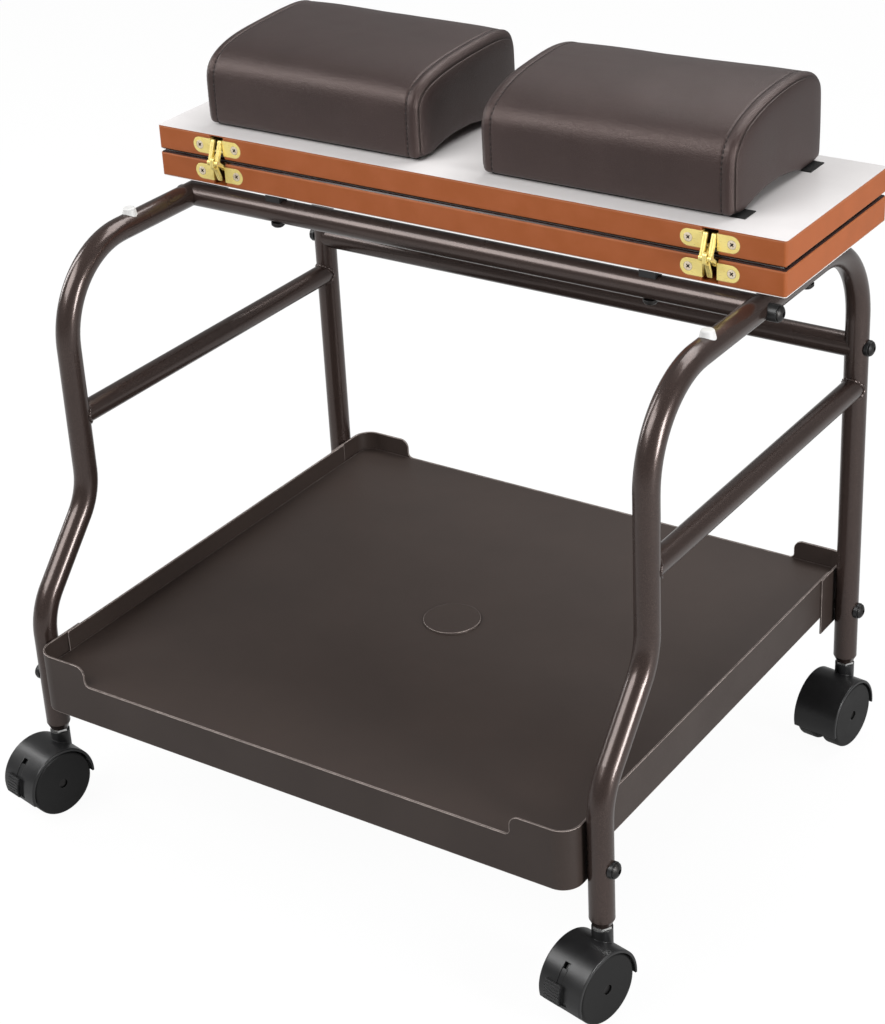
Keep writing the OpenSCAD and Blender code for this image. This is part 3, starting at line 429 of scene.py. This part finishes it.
tube_paint = finish(
    "bronze tube paint", POWDER,
    {"Base": rgb(0.052, 0.034, 0.029), "Fleck": rgb(0.20, 0.14, 0.12), "Fleck share": 0.30,
     "Fleck size": 0.00035, "Peel size": 0.0022, "Smooth": 0.24, "Rough": 0.30},
    bump=(0.12, 0.00008),
    shader={"Metallic": 0.55, "Specular IOR Level": 0.5,
            "Coat Weight": 0.35, "Coat Roughness": 0.12})
# Painted highlight: a pale line along the edges of the tray's sheets
sheet_paint = finish(
    "bronze sheet paint", POWDER,
    {"Base": rgb(0.043, 0.030, 0.025), "Fleck": rgb(0.11, 0.08, 0.07), "Fleck share": 0.22,
     "Fleck size": 0.0004, "Peel size": 0.003, "Smooth": 0.44, "Rough": 0.52},
    bump=(0.14, 0.0001), shader={"Metallic": 0.2, "Specular IOR Level": 0.45},
    edge=(0.0009, 1.0, rgb(0.62, 0.53, 0.49)))
# Painted highlight: a grey line along the edges of the black oxide parts
dark_bolt = finish(
    "black oxide", PLATED,
    {"Base": rgb(0.022, 0.021, 0.021), "Tarnish": rgb(0.05, 0.045, 0.04),
     "Smooth": 0.32, "Rough": 0.48},
    bump=(0.1, 0.00005), shader={"Metallic": 0.6},
    edge=(0.0003, 0.5, rgb(0.16, 0.15, 0.145)))
bright_zinc = finish(
    "bright zinc", PLATED,
    {"Base": rgb(0.68, 0.68, 0.67), "Tarnish": rgb(0.36, 0.36, 0.37),
     "Smooth": 0.16, "Rough": 0.3},
    bump=(0.1, 0.00004), shader={"Metallic": 1.0})
# Painted shade: a dark olive line along the plates' edges, and dark brown inside the cups
brass_plate = finish(
    "brass plate", PLATED,
    {"Base": rgb(0.99, 0.82, 0.29), "Tarnish": rgb(0.90, 0.68, 0.18),
     "Smooth": 0.26, "Rough": 0.38},
    bump=(0.12, 0.00004), shader={"Metallic": 0.45},
    edge=(0.0006, 0.85, rgb(0.30, 0.17, 0.02)),
    masks=[depth_shade(CUP_DEPTHS, 0.9, rgb(0.045, 0.020, 0.006))])
# Painted shade: a dark line along the links' edges, and dark brown in the gaps beside the arms
hinge_steel = finish(
    "yellow passivated steel", PLATED,
    {"Base": rgb(0.90, 0.80, 0.46), "Tarnish": rgb(0.70, 0.52, 0.24),
     "Smooth": 0.26, "Rough": 0.40},
    bump=(0.12, 0.00004), shader={"Metallic": 0.55},
    edge=(0.0003, 0.5, rgb(0.24, 0.13, 0.03)),
    masks=[depth_shade(ARM_DEPTHS, 0.85, rgb(0.045, 0.018, 0.008))])
# Painted shade: a dark line along the heads' edges, and near black in the cross recess
plate_screw = finish(
    "passivated screw", PLATED,
    {"Base": rgb(0.88, 0.76, 0.58), "Tarnish": rgb(0.66, 0.48, 0.32),
     "Smooth": 0.24, "Rough": 0.36},
    bump=(0.1, 0.00004), shader={"Metallic": 0.5},
    edge=(0.0004, 0.6, rgb(0.16, 0.09, 0.04)),
    masks=[depth_shade(CROSS_DEPTHS, 1.0, rgb(0.016, 0.003, 0.006))])
# Painted highlight: a grey line along the edges
black_nylon = finish(
    "black nylon", MOULDED,
    {"Base": rgb(0.011, 0.011, 0.0115), "Pale": rgb(0.017, 0.017, 0.0175),
     "Grain size": 0.0007, "Smooth": 0.30, "Rough": 0.40},
    bump=(0.10, 0.00006), edge=(0.0006, 0.35, rgb(0.06, 0.06, 0.06)))
# Painted highlight: a grey line along the edges
wheel_nylon = finish(
    "grey nylon", MOULDED,
    {"Base": rgb(0.0060, 0.0059, 0.0059), "Pale": rgb(0.0095, 0.0094, 0.0094),
     "Grain size": 0.0006, "Smooth": 0.42, "Rough": 0.52},
    bump=(0.10, 0.00006), shader={"Specular IOR Level": 0.25},
    edge=(0.0006, 0.3, rgb(0.10, 0.10, 0.10)))
white_bumper = finish(
    "white rubber", MOULDED,
    {"Base": rgb(0.62, 0.62, 0.61), "Pale": rgb(0.68, 0.68, 0.68),
     "Grain size": 0.0008, "Smooth": 0.40, "Rough": 0.5},
    bump=(0.06, 0.00005),
    shader={"Subsurface Weight": 0.1, "Subsurface Radius": (0.002, 0.002, 0.002)})
# Painted highlight: a pale tan line along the edges and corners; painted shade in the joint
# between the leaves
edge_paint = finish(
    "orange brown edge paint", MOULDED,
    {"Base": EDGE_BROWN, "Pale": rgb(0.395, 0.116, 0.044),
     "Grain size": 0.0011, "Smooth": 0.42, "Rough": 0.52},
    bump=(0.16, 0.00006), shader={"Specular IOR Level": 0.22},
    edge=(0.0011, 0.5, rgb(0.62, 0.30, 0.15)),
    masks=[joint_shade(half_gap=0.0014, rim=0.01)])
# Painted shade in the joint between the leaves; the brown of upright faces and pockets is the edge
# paint's own colour
laminate = finish(
    "white laminate", MOULDED,
    {"Base": rgb(0.78, 0.755, 0.75), "Pale": rgb(0.81, 0.785, 0.78),
     "Grain size": 0.0015, "Smooth": 0.14, "Rough": 0.19},
    bump=(0.03, 0.00004), shader={"Specular IOR Level": 0.5},
    masks=[(SIDE, {"Above": BOARD_UNDER + EDGE_FROM, "Below": BOARD_UNDER + POCKET_TO},
            EDGE_BROWN),
           joint_shade(half_gap=0.0016, rim=0.0030)])
tape_black = finish(
    "hook and loop tape", MOULDED,
    {"Base": rgb(0.006, 0.006, 0.006), "Pale": rgb(0.022, 0.021, 0.021),
     "Grain size": 0.0009, "Smooth": 0.8, "Rough": 0.95},
    bump=(0.9, 0.0004))
thread = finish(
    "brown thread", MOULDED,
    {"Base": rgb(0.008, 0.005, 0.0045), "Pale": rgb(0.016, 0.010, 0.009),
     "Grain size": 0.0003, "Smooth": 0.5, "Rough": 0.62},
    bump=(0.3, 0.0001))
leather = leatherette()

SLOT_FINISHES = {
    "bronze_paint": tube_paint, "zinc_steel": bright_zinc, "black_steel": dark_bolt,
    "black_plastic": black_nylon, "wheel_plastic": wheel_nylon,
    "white_rubber": white_bumper, "board_edge": edge_paint, "white_face": laminate,
    "brass": brass_plate, "hinge_steel": hinge_steel, "black_tape": tape_black,
    "brown_leather": leather,
}


def dress_nodes():
    """Gives each carried-over node the finish of its slot in the record. The tray's painted
    sheets, the hinge plates' screws and the axles' blackened ends have finishes of their own."""
    slots = {row["node"]: row["material_slot"] for row in frame["record"]["subparts"]}
    for name, thing in nodes.items():
        material = SLOT_FINISHES[slots[name]]
        if material is tube_paint and name.startswith("tray_"):
            material = sheet_paint
        if name.endswith("_hinge_screws"):
            material = plate_screw
        if name.startswith("axle_"):
            material = dark_bolt
        for place in thing.material_slots:
            place.material = material


# Mesh helpers

def add_piece(name, points, faces, material, body):
    """Smooth mesh object from points in millimetres and faces, riding on a body."""
    mesh = bpy.data.meshes.new(name)
    mesh.from_pydata((points * MM).tolist(), [], faces)
    mesh.materials.append(material)
    mesh.polygons.foreach_set("use_smooth", np.ones(len(mesh.polygons), bool))
    mesh.update()
    piece = bpy.data.objects.new(name, mesh)
    scene.collection.objects.link(piece)
    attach(piece, body)
    return piece


def grid_faces(rows, columns, wrap_rows=False):
    """Quads of a grid of rows x columns points, closed round each row."""
    i, j = np.meshgrid(np.arange(rows if wrap_rows else rows - 1), np.arange(columns),
                       indexing="ij")
    i2, j2 = (i + 1) % rows, (j + 1) % columns
    corners = (i * columns + j, i * columns + j2, i2 * columns + j2, i2 * columns + j)
    return np.stack([c.ravel() for c in corners], 1)


def volume(points, quads, triangles=None):
    """Signed volume: a sixth of the sum of the triple products of each triangle's corners."""
    parts = [quads[:, :3], quads[:, [0, 2, 3]]]
    if triangles is not None:
        parts.append(triangles)
    a, b, c = (points[np.concatenate(parts)[:, k]] for k in range(3))
    return np.einsum("ij,ij->i", a, np.cross(b, c)).sum() / 6


def run_along(path):
    """Length along a path from its first point to each point."""
    steps = np.linalg.norm(np.diff(path, axis=0), axis=1)
    return np.concatenate([[0], np.cumsum(steps)])


def pick_along(at, run, values):
    """Each column of values where the length along a path is at."""
    return np.stack([np.interp(at, run, column) for column in values.T], 1)


def bell(distance, half):
    """Bell curve: e to the minus square of the distance in halves."""
    return np.exp(-(distance / half) ** 2)


def ramp(value, start, length):
    """Climbs from 0 to 1 over a length after its start."""
    return np.clip((value - start) / length, 0, 1)


def tube_rings(path, across, other, radius, sides):
    """Rings round each point of a path, in the plane of two directions there:
    path + radius x (cos turn x across + sin turn x other)."""
    turn = np.linspace(0, 2 * np.pi, sides, endpoint=False)[None, :, None]
    ring = np.cos(turn) * across[:, None] + np.sin(turn) * other[:, None]
    return (path[:, None] + radius[:, None, None] * ring).reshape(-1, 3)


# Foot cushions, in millimetres: x along the width, y back from the front, z up

CUSHION_D, MID_H = 127.0, 24.0
MIDDLE = np.array([CUSHION_D / 2, MID_H])

# Of each cushion: the width, the heights of the front edge and the crown, where the crown is
# as a share of the depth, the rear's height as a share of the crown, the powers of the upper
# corners, the drop of the ends, the share of the ends' turn that the top takes, and the tilt
CUSHIONS = {
    "left": {"width": 182.4, "front": 53.0, "crown": 61.0, "crown_at": 0.78, "rear": 0.94,
             "front_power": 4.2, "rear_power": 12.0, "end_drop": 1.2, "top_turn": 1.0,
             "tilt": -0.3},
    "right": {"width": 188.0, "front": 51.5, "crown": 63.8, "crown_at": 0.68, "rear": 0.87,
              "front_power": 4.0, "rear_power": 10.0, "end_drop": 0.2, "top_turn": 0.45,
              "tilt": 1.6}}
COVER_PROUD = 0.8
BELT, BASE_POWER = 23.0, 14.0
ARCH, ARCH_FROM, ARCH_TO = 6.0, 0.09, 0.76
RING_N, SECTION_STEPS = 360, 24000

# Turn of the cover over the cushion's ends, and its seam, stitch line and puff
TURN_R, TURN = 7.0, math.radians(55)
END_ROOM, FINE_BAND = 1.0, 7.0
COARSE_RINGS, FINE_RINGS, TURN_RINGS = 40, 30, 34
SEAM_DEPTH, SEAM_HALF = 0.85, 0.5
STITCH_IN, STITCH_PITCH = 9.2, 3.5
STITCH_DEPTH, STITCH_HALF = 0.42, 0.9
PUFF, PUFF_HALF = 0.3, 2.4
PUCKER, PUCKER_HALF, SEAM_PUCKER_SHARE = 0.13, 2.0, 0.7
UPPER_FADE, LOWER_FADE, LOWER_CUT_SHARE = 10.0, 18.0, 0.8

# End panels: a dome that stands out of the seam's ring
DOME, DOME_POWER, DOME_ROUND_POWER = 2.4, 8, 0.6
PANEL_RINGS, PANEL_CROWD_POWER, PANEL_REACH = 26, 1.5, 40.0
# Half width, in millimetres, of the painted shade along the seam's crease
SEAM_SHADE_HALF = 0.75

# Waves of the leather, each (height, length along x, y and z, phase)
WAVES = ((0.30, 19, 31, math.inf, 0.7), (0.22, -37, 13, 21, 0.0), (0.14, 9.5, math.inf, 11, 1.9),
         (0.10, 15, 8.3, math.inf, 4.1), (0.06, 5.1, -6.7, math.inf, 0.0))
WAVE_FROM, WAVE_FADE, WAVE_SHARE = 4.0, 14.0, 0.7
TILT_FROM, TILT_FADE, DROP_POWER = 30.0, 20.0, 4

# Underside: it sinks along the front and the rear, where the cover is pulled under
SINK, SINK_FADE = 1.25, 9.0
SINK_FRONT, SINK_FRONT_FADE = 4.2, 1.6
SINK_REAR, SINK_REAR_FADE = 6.0, 2.0

# Thread: bent capsules, in rows that stop a little over the underside
STITCH_START, STITCH_GAP = 0.5, 0.8
THREAD_R, THREAD_RISE, THREAD_SUNK = 0.30, 0.36, 0.12
THREAD_END_POWER, THREAD_LEAST = 6, 0.02
THREAD_STEPS, THREAD_SIDES = 7, 6
STITCH_FROM_H = 3.0


def section_curve(form):
    """Closed section (y, z): a rounded box whose top climbs by a quarter sine from the front
    edge to the crown and falls by a square to the rear, over an arched underside. Its corners
    are those of a superellipse. The points are evenly spaced; gives them and their run."""
    a = np.linspace(0, 2 * np.pi, SECTION_STEPS, endpoint=False)
    sine, cosine = np.sin(a), np.cos(a)
    up = sine >= 0
    power = np.where(up, np.where(cosine > 0, form["front_power"], form["rear_power"]),
                     BASE_POWER)
    t = 0.5 - 0.5 * np.sign(cosine) * np.abs(cosine) ** (2 / power)
    lift = np.abs(sine) ** (2 / power)
    front, crown, crown_at = form["front"], form["crown"], form["crown_at"]
    climb = front + (crown - front) * np.sin(np.pi / 2 * np.minimum(t / crown_at, 1))
    fall = crown * (1 - (1 - form["rear"]) * ((t - crown_at) / (1 - crown_at)) ** 2)
    top = np.where(t < crown_at, climb, fall)
    middle, half = (ARCH_FROM + ARCH_TO) / 2, (ARCH_TO - ARCH_FROM) / 2
    arch = ARCH * np.clip(1 - ((t - middle) / half) ** 2, 0, None)
    z = BELT + (np.where(up, top, arch) - BELT) * lift
    loop = np.stack([t * CUSHION_D, z], 1)
    loop = np.vstack([loop, loop[:1]])
    run = run_along(loop)
    at = np.linspace(0, run[-1], RING_N, endpoint=False)
    return pick_along(at, run, loop), at


def width_profile(width):
    """From the cushion's middle to the seam of its end panel: x, inset of the ring, and the
    distance along the cover from the seam. The cover is straight and then turns on a radius;
    bell curves press in the seam and the stitch line, and puff the leather between them."""
    flat = width / 2 - END_ROOM - TURN_R * math.sin(TURN)
    coarse = np.linspace(0, flat - FINE_BAND, COARSE_RINGS)[:-1]
    cover = np.concatenate([coarse, np.linspace(flat - FINE_BAND, flat, FINE_RINGS)])
    turn = np.linspace(0, TURN, TURN_RINGS)[1:]
    x = np.concatenate([cover, flat + TURN_R * np.sin(turn)])
    inset = np.concatenate([np.zeros(len(cover)), TURN_R * (1 - np.cos(turn))])
    along = np.concatenate([cover - flat, TURN_R * turn]) - TURN_R * TURN
    inset += SEAM_DEPTH * bell(along, SEAM_HALF)
    inset += STITCH_DEPTH * bell(along + STITCH_IN, STITCH_HALF)
    inset -= PUFF * bell(along + STITCH_IN / 2, PUFF_HALF)
    return x, inset, along


def ring_stack(x, rings):
    """Points (x, y, z) of rings, each at its own x."""
    level = np.broadcast_to(x[:, None, None], rings.shape[:2] + (1,))
    return np.concatenate([level, rings], 2)


def half_cushion(form):
    """Rings from the cushion's middle to the middle of its right end, each with its mark for the
    painted shade of the seam's crease. On the cover, a ring is the section drawn in towards its
    middle by the inset of its place, and puckered at the stitches by a cosine; the end panel's
    rings shrink from the seam, and stand out by dome x (1 - share ** 8) ** 0.6."""
    section, run = section_curve(form)
    x, inset, along = width_profile(form["width"])
    near_stitch = (bell(along + STITCH_IN, PUCKER_HALF)
                   + SEAM_PUCKER_SHARE * bell(along, PUCKER_HALF))
    pucker = PUCKER * np.cos(2 * np.pi * run / STITCH_PITCH)
    height = section[:, 1]
    z_turn = (1 + (form["top_turn"] - 1) * ramp(height, MID_H, UPPER_FADE)
              - LOWER_CUT_SHARE * ramp(-height, -MID_H, LOWER_FADE))

    def drawn(draw):
        """Section scaled about its middle by 1 - draw / middle in y, and by z_turn of it in z."""
        scale = 1 - np.stack([draw, draw * z_turn], -1) / MIDDLE
        return MIDDLE + (section - MIDDLE) * scale

    cover = ring_stack(x, drawn(inset[:, None] + near_stitch[:, None] * pucker))
    edge = drawn(np.full(RING_N, TURN_R * (1 - math.cos(TURN))))
    share = 1 - np.linspace(0, 1, PANEL_RINGS)[1:-1] ** PANEL_CROWD_POWER
    dome = DOME * (1 - share ** DOME_POWER) ** DOME_ROUND_POWER
    panel = ring_stack(x[-1] + dome, MIDDLE + (edge - MIDDLE) * share[:, None, None])
    seam_shade_mark = np.concatenate([bell(along, SEAM_SHADE_HALF), bell((1 - share) * PANEL_REACH, SEAM_SHADE_HALF)])
    tip = np.array([[x[-1] + DOME, *MIDDLE]])
    return np.concatenate([cover, panel]), seam_shade_mark, tip, along


def shape_by_hand(points, form):
    """Slow waves outward from the cushion's core, a tilt and a drop at the ends of its top,
    and an underside that sinks along the front and the rear; the points are changed."""
    x, y, z = points.T
    wave = sum(high * np.sin(x / along_x + y / along_y + z / along_z + phase)
               for high, along_x, along_y, along_z, phase in WAVES)
    spread = points - [0, *MIDDLE]
    out = spread / np.linalg.norm(spread, axis=1, keepdims=True)
    points += out * (wave * ramp(z, WAVE_FROM, WAVE_FADE) * WAVE_SHARE)[:, None]
    share = points[:, 0] / (form["width"] / 2)
    points[:, 2] += ((form["tilt"] * share - form["end_drop"] * share ** DROP_POWER)
                     * ramp(points[:, 2], TILT_FROM, TILT_FADE))
    points[:, 2] = np.maximum(points[:, 2], 0)
    outer = np.maximum(ramp(-points[:, 1], -SINK_FRONT, SINK_FRONT_FADE),
                       ramp(points[:, 1], CUSHION_D - SINK_REAR, SINK_REAR_FADE))
    points[:, 2] -= SINK * outer * (1 - ramp(points[:, 2], 0, SINK_FADE))


def cushion_mesh(form):
    """The half cushion and its mirror image as one closed grid of rings, with a fan of
    triangles to the middle of each end. Gives points, quads, fans, marks of the seam's painted
    shade and lengths."""
    right, seam_shade_mark, tip, along = half_cushion(form)
    left = right[:0:-1] * [-1, 1, 1]
    body = np.concatenate([left, right])
    points = np.vstack([body.reshape(-1, 3), tip * [-1, 1, 1], tip])
    shape_by_hand(points, form)
    seam_shade_mark = np.concatenate([np.repeat(np.concatenate([seam_shade_mark[:0:-1], seam_shade_mark]), RING_N), [0, 0]])
    ring = np.arange(RING_N)
    following = (ring + 1) % RING_N
    last = (len(body) - 1) * RING_N
    left_tip, right_tip = (np.full(RING_N, len(points) - k) for k in (2, 1))
    fans = np.concatenate([np.stack([ring, following, left_tip], 1),
                           np.stack([last + following, last + ring, right_tip], 1)])
    quads = grid_faces(len(body), RING_N)[:, ::-1]
    if volume(points, quads, fans) < 0:
        quads, fans = quads[:, ::-1], fans[:, ::-1]
    return points, quads.tolist() + fans.tolist(), seam_shade_mark, along


def stitch_row(name, path, out, body):
    """Short thread lengths along a path that runs over the top from front to rear. Each is a
    bent capsule: its middle rises outward by a sine, its ends are sunk in the cover, and its
    radius is the root of 1 - (2 t - 1) ** 6, as of a rounded rod."""
    run = run_along(path)
    count = int(run[-1] // STITCH_PITCH)
    starts = np.arange(count) * STITCH_PITCH + STITCH_START
    t = np.linspace(0, 1, THREAD_STEPS)
    at = (starts[:, None] + t * (STITCH_PITCH - STITCH_GAP)).ravel()
    t_all = np.tile(t, count)
    normal = pick_along(at, run, out)
    normal /= np.linalg.norm(normal, axis=1, keepdims=True)
    rise = THREAD_RISE * np.sin(np.pi * t_all) - THREAD_SUNK
    centre = pick_along(at, run, path) + normal * rise[:, None]
    across = np.tile([1.0, 0.0, 0.0], (len(centre), 1))
    rod = np.clip(1 - (2 * t_all - 1) ** THREAD_END_POWER, THREAD_LEAST, 1)
    points = tube_rings(centre, across, normal, THREAD_R * np.sqrt(rod), THREAD_SIDES)
    size = THREAD_STEPS * THREAD_SIDES
    first = np.arange(count)[:, None] * size
    quads = first[:, :, None] + grid_faces(THREAD_STEPS, THREAD_SIDES)[:, ::-1]
    near_end = first + np.arange(THREAD_SIDES)
    far_end = first + size - 1 - np.arange(THREAD_SIDES)
    faces = quads.reshape(-1, 4).tolist() + near_end.tolist() + far_end.tolist()
    add_piece(name, points, faces, thread, body)


def make_cushion(side):
    """Cover of one cushion on its CAD solid's place, with a row of stitches at each end."""
    form, body = CUSHIONS[side], f"{side}_pad"
    low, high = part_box(f"{side}_cushion")
    points, faces, seam_shade_mark, along = cushion_mesh(form)
    floor_h = low.z / MM
    points += [(low.x + high.x) / 2 / MM, low.y / MM - COVER_PROUD, floor_h]
    cover = add_piece(f"{side}_cushion_cover", points, faces, leather, body)
    # Painted shade: the seam's crease darkens by this mark in the leatherette
    seam_shade = cover.data.attributes.new("seam_shade", "FLOAT", "POINT")
    seam_shade.data.foreach_set("value", seam_shade_mark.astype(np.float32))
    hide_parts(f"{side}_cushion")
    grid = points[:-2].reshape(-1, RING_N, 3)
    stitch_at = int(np.argmin(np.abs(along + STITCH_IN)))
    centre_row = len(grid) // 2
    for label, row in (("a", centre_row - stitch_at), ("b", centre_row + stitch_at)):
        ring = grid[row]
        out = (ring - ring.mean(0)) * [0, 1, 1]
        shown = ring[:, 2] > floor_h + STITCH_FROM_H
        first = int(np.argmax(shown & ~np.roll(shown, 1)))
        order = (np.arange(shown.sum()) + first) % RING_N
        stitch_row(f"{side}_cushion_stitches_{label}", ring[order], out[order], body)


# Weld beads of the side rails, in millimetres

BEAD_R, BEAD_STEPS, BEAD_SIDES = 1.35, 96, 10
RIPPLES = ((0.16, 19), (0.10, 7))
FRONT_SEED, REAR_SEED = 3, 5


def weld_bead(name, centre, axis, tube_r, rail_r, seed):
    """Fillet weld where a rail meets an upright tube: a ring on the line in which the two
    tubes cut. Where the rail's radius has turned by a, that line is the root of tube radius
    squared less (rail radius x cos a) squared away from the tube's axis. Sines swell it."""
    a = np.linspace(0, 2 * np.pi, BEAD_STEPS, endpoint=False)
    axis, up = np.array(axis, float), np.array([0, 0, 1.0])
    outward = np.cos(a)[:, None] * np.cross(up, axis) + np.sin(a)[:, None] * up
    reach = np.sqrt(np.maximum(tube_r ** 2 - (rail_r * np.cos(a)) ** 2, 0))
    path = np.array(centre) + reach[:, None] * axis + rail_r * outward
    rng = np.random.default_rng(seed)
    ripple = 1 + sum(share * np.sin(a * waves + rng.uniform(0, 6)) for share, waves in RIPPLES)
    points = tube_rings(path, outward, np.tile(axis, (BEAD_STEPS, 1)), BEAD_R * ripple,
                        BEAD_SIDES)
    faces = grid_faces(BEAD_STEPS, BEAD_SIDES, wrap_rows=True)
    if volume(points, faces) < 0:
        faces = faces[:, ::-1]
    add_piece(name, points, faces.tolist(), tube_paint, "stand")


def weld_beads():
    """A bead at both ends of each side rail, round the two legs that it joins. The rail's
    ends stop equally far from the axes of both legs."""
    for side in ("left", "right"):
        frame_low, frame_high = (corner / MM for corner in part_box(f"{side}_side_frame"))
        low, high = (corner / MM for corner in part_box(f"{side}_side_rail"))
        tube_r, rail_r = (frame_high.x - frame_low.x) / 2, (high.x - low.x) / 2
        x, z = (low.x + high.x) / 2, (low.z + high.z) / 2
        rear_leg_y = frame_high.y - tube_r
        front_leg_y = low.y - (rear_leg_y - high.y)
        weld_bead(f"{side}_front_weld", (x, front_leg_y, z), (0, 1, 0), tube_r, rail_r,
                  FRONT_SEED)
        weld_bead(f"{side}_rear_weld", (x, rear_leg_y, z), (0, -1, 0), tube_r, rail_r,
                  REAR_SEED)


# Studio: white for the camera, and softer for the light that falls on the footrest

FLOOR_HALF = 6.0
FLOOR_GREY, WORLD_LIGHT = 0.38, 0.27
SEEN_SHARE, MIRRORED_SHARE, FLOOR_GLOW = 0.88, 0.30, 1.088
WHITE = rgb(1, 1, 1)

# Lamps: name, place and target, width and height of the sheet in metres, and power in watts
LAMPS = (
    ("key", (-0.85, -1.35, 1.75), (0, 0, 0.35), (1.5, 1.1), 36),
    ("right strip", (1.7, -0.3, 0.62), (0, 0, 0.3), (0.4, 0.7), 24),
    ("top", (0.25, 0.95, 1.95), (0, 0, 0.3), (1.6, 0.9), 25),
    ("left strip", (-1.7, -0.1, 0.9), (0, 0, 0.3), (0.3, 1.1), 9),
)


def soft_box(name, place, target, size, power):
    """Area lamp at place that looks at target."""
    data = bpy.data.lights.new(name, "AREA")
    data.shape = "RECTANGLE"
    data.size, data.size_y = size
    data.energy = power
    lamp = bpy.data.objects.new(name, data)
    lamp.location = place
    lamp.rotation_euler = (Vector(target) - Vector(place)).to_track_quat("-Z", "Y").to_euler()
    scene.collection.objects.link(lamp)


def seen_share(tree, path):
    """1 for rays from the camera and through glass, else 0."""
    return sums(tree, "ADD", path.outputs["Is Camera Ray"],
                path.outputs["Is Transmission Ray"], True)


def lay_floor():
    """Matt floor that glows for the camera and, less, for mirrors; it keeps a faint shadow."""
    mesh = bpy.data.meshes.new("floor")
    half = FLOOR_HALF
    mesh.from_pydata([(-half, -half, 0), (half, -half, 0), (half, half, 0), (-half, half, 0)],
                     [], [(0, 1, 2, 3)])
    floor = bpy.data.objects.new("floor", mesh)
    scene.collection.objects.link(floor)
    material, tree = empty_material("floor")
    path = put(tree, "ShaderNodeLightPath")
    share = sums(tree, "ADD", sums(tree, "MULTIPLY", seen_share(tree, path), SEEN_SHARE),
                 sums(tree, "MULTIPLY", path.outputs["Is Glossy Ray"], MIRRORED_SHARE), True)
    paint = put(tree, "ShaderNodeBsdfDiffuse", None,
                {"Color": rgb(FLOOR_GREY, FLOOR_GREY, FLOOR_GREY)})
    glow = put(tree, "ShaderNodeEmission", None, {"Color": WHITE, "Strength": FLOOR_GLOW})
    mixed = put(tree, "ShaderNodeMixShader", None,
                {0: share, 1: paint.outputs[0], 2: glow.outputs[0]})
    put(tree, "ShaderNodeOutputMaterial", None, {"Surface": mixed.outputs[0]})
    mesh.materials.append(material)


def hang_world():
    """World that is white for the camera and gives a soft even light to the rest."""
    world = bpy.data.worlds.new("studio")
    scene.world = world
    world.use_nodes = True
    tree = world.node_tree
    tree.nodes.clear()
    share = seen_share(tree, put(tree, "ShaderNodeLightPath"))
    soft = put(tree, "ShaderNodeBackground", None, {"Color": WHITE, "Strength": WORLD_LIGHT})
    white = put(tree, "ShaderNodeBackground", None, {"Color": WHITE, "Strength": 1.0})
    mixed = put(tree, "ShaderNodeMixShader", None,
                {0: share, 1: soft.outputs[0], 2: white.outputs[0]})
    put(tree, "ShaderNodeOutputWorld", None, {"Surface": mixed.outputs[0]})


aim_camera()
lay_floor()
hang_world()
for lamp_row in LAMPS:
    soft_box(*lamp_row)
dress_nodes()
make_cushion("left")
make_cushion("right")
weld_beads()
scene.view_settings.view_transform = "Standard"
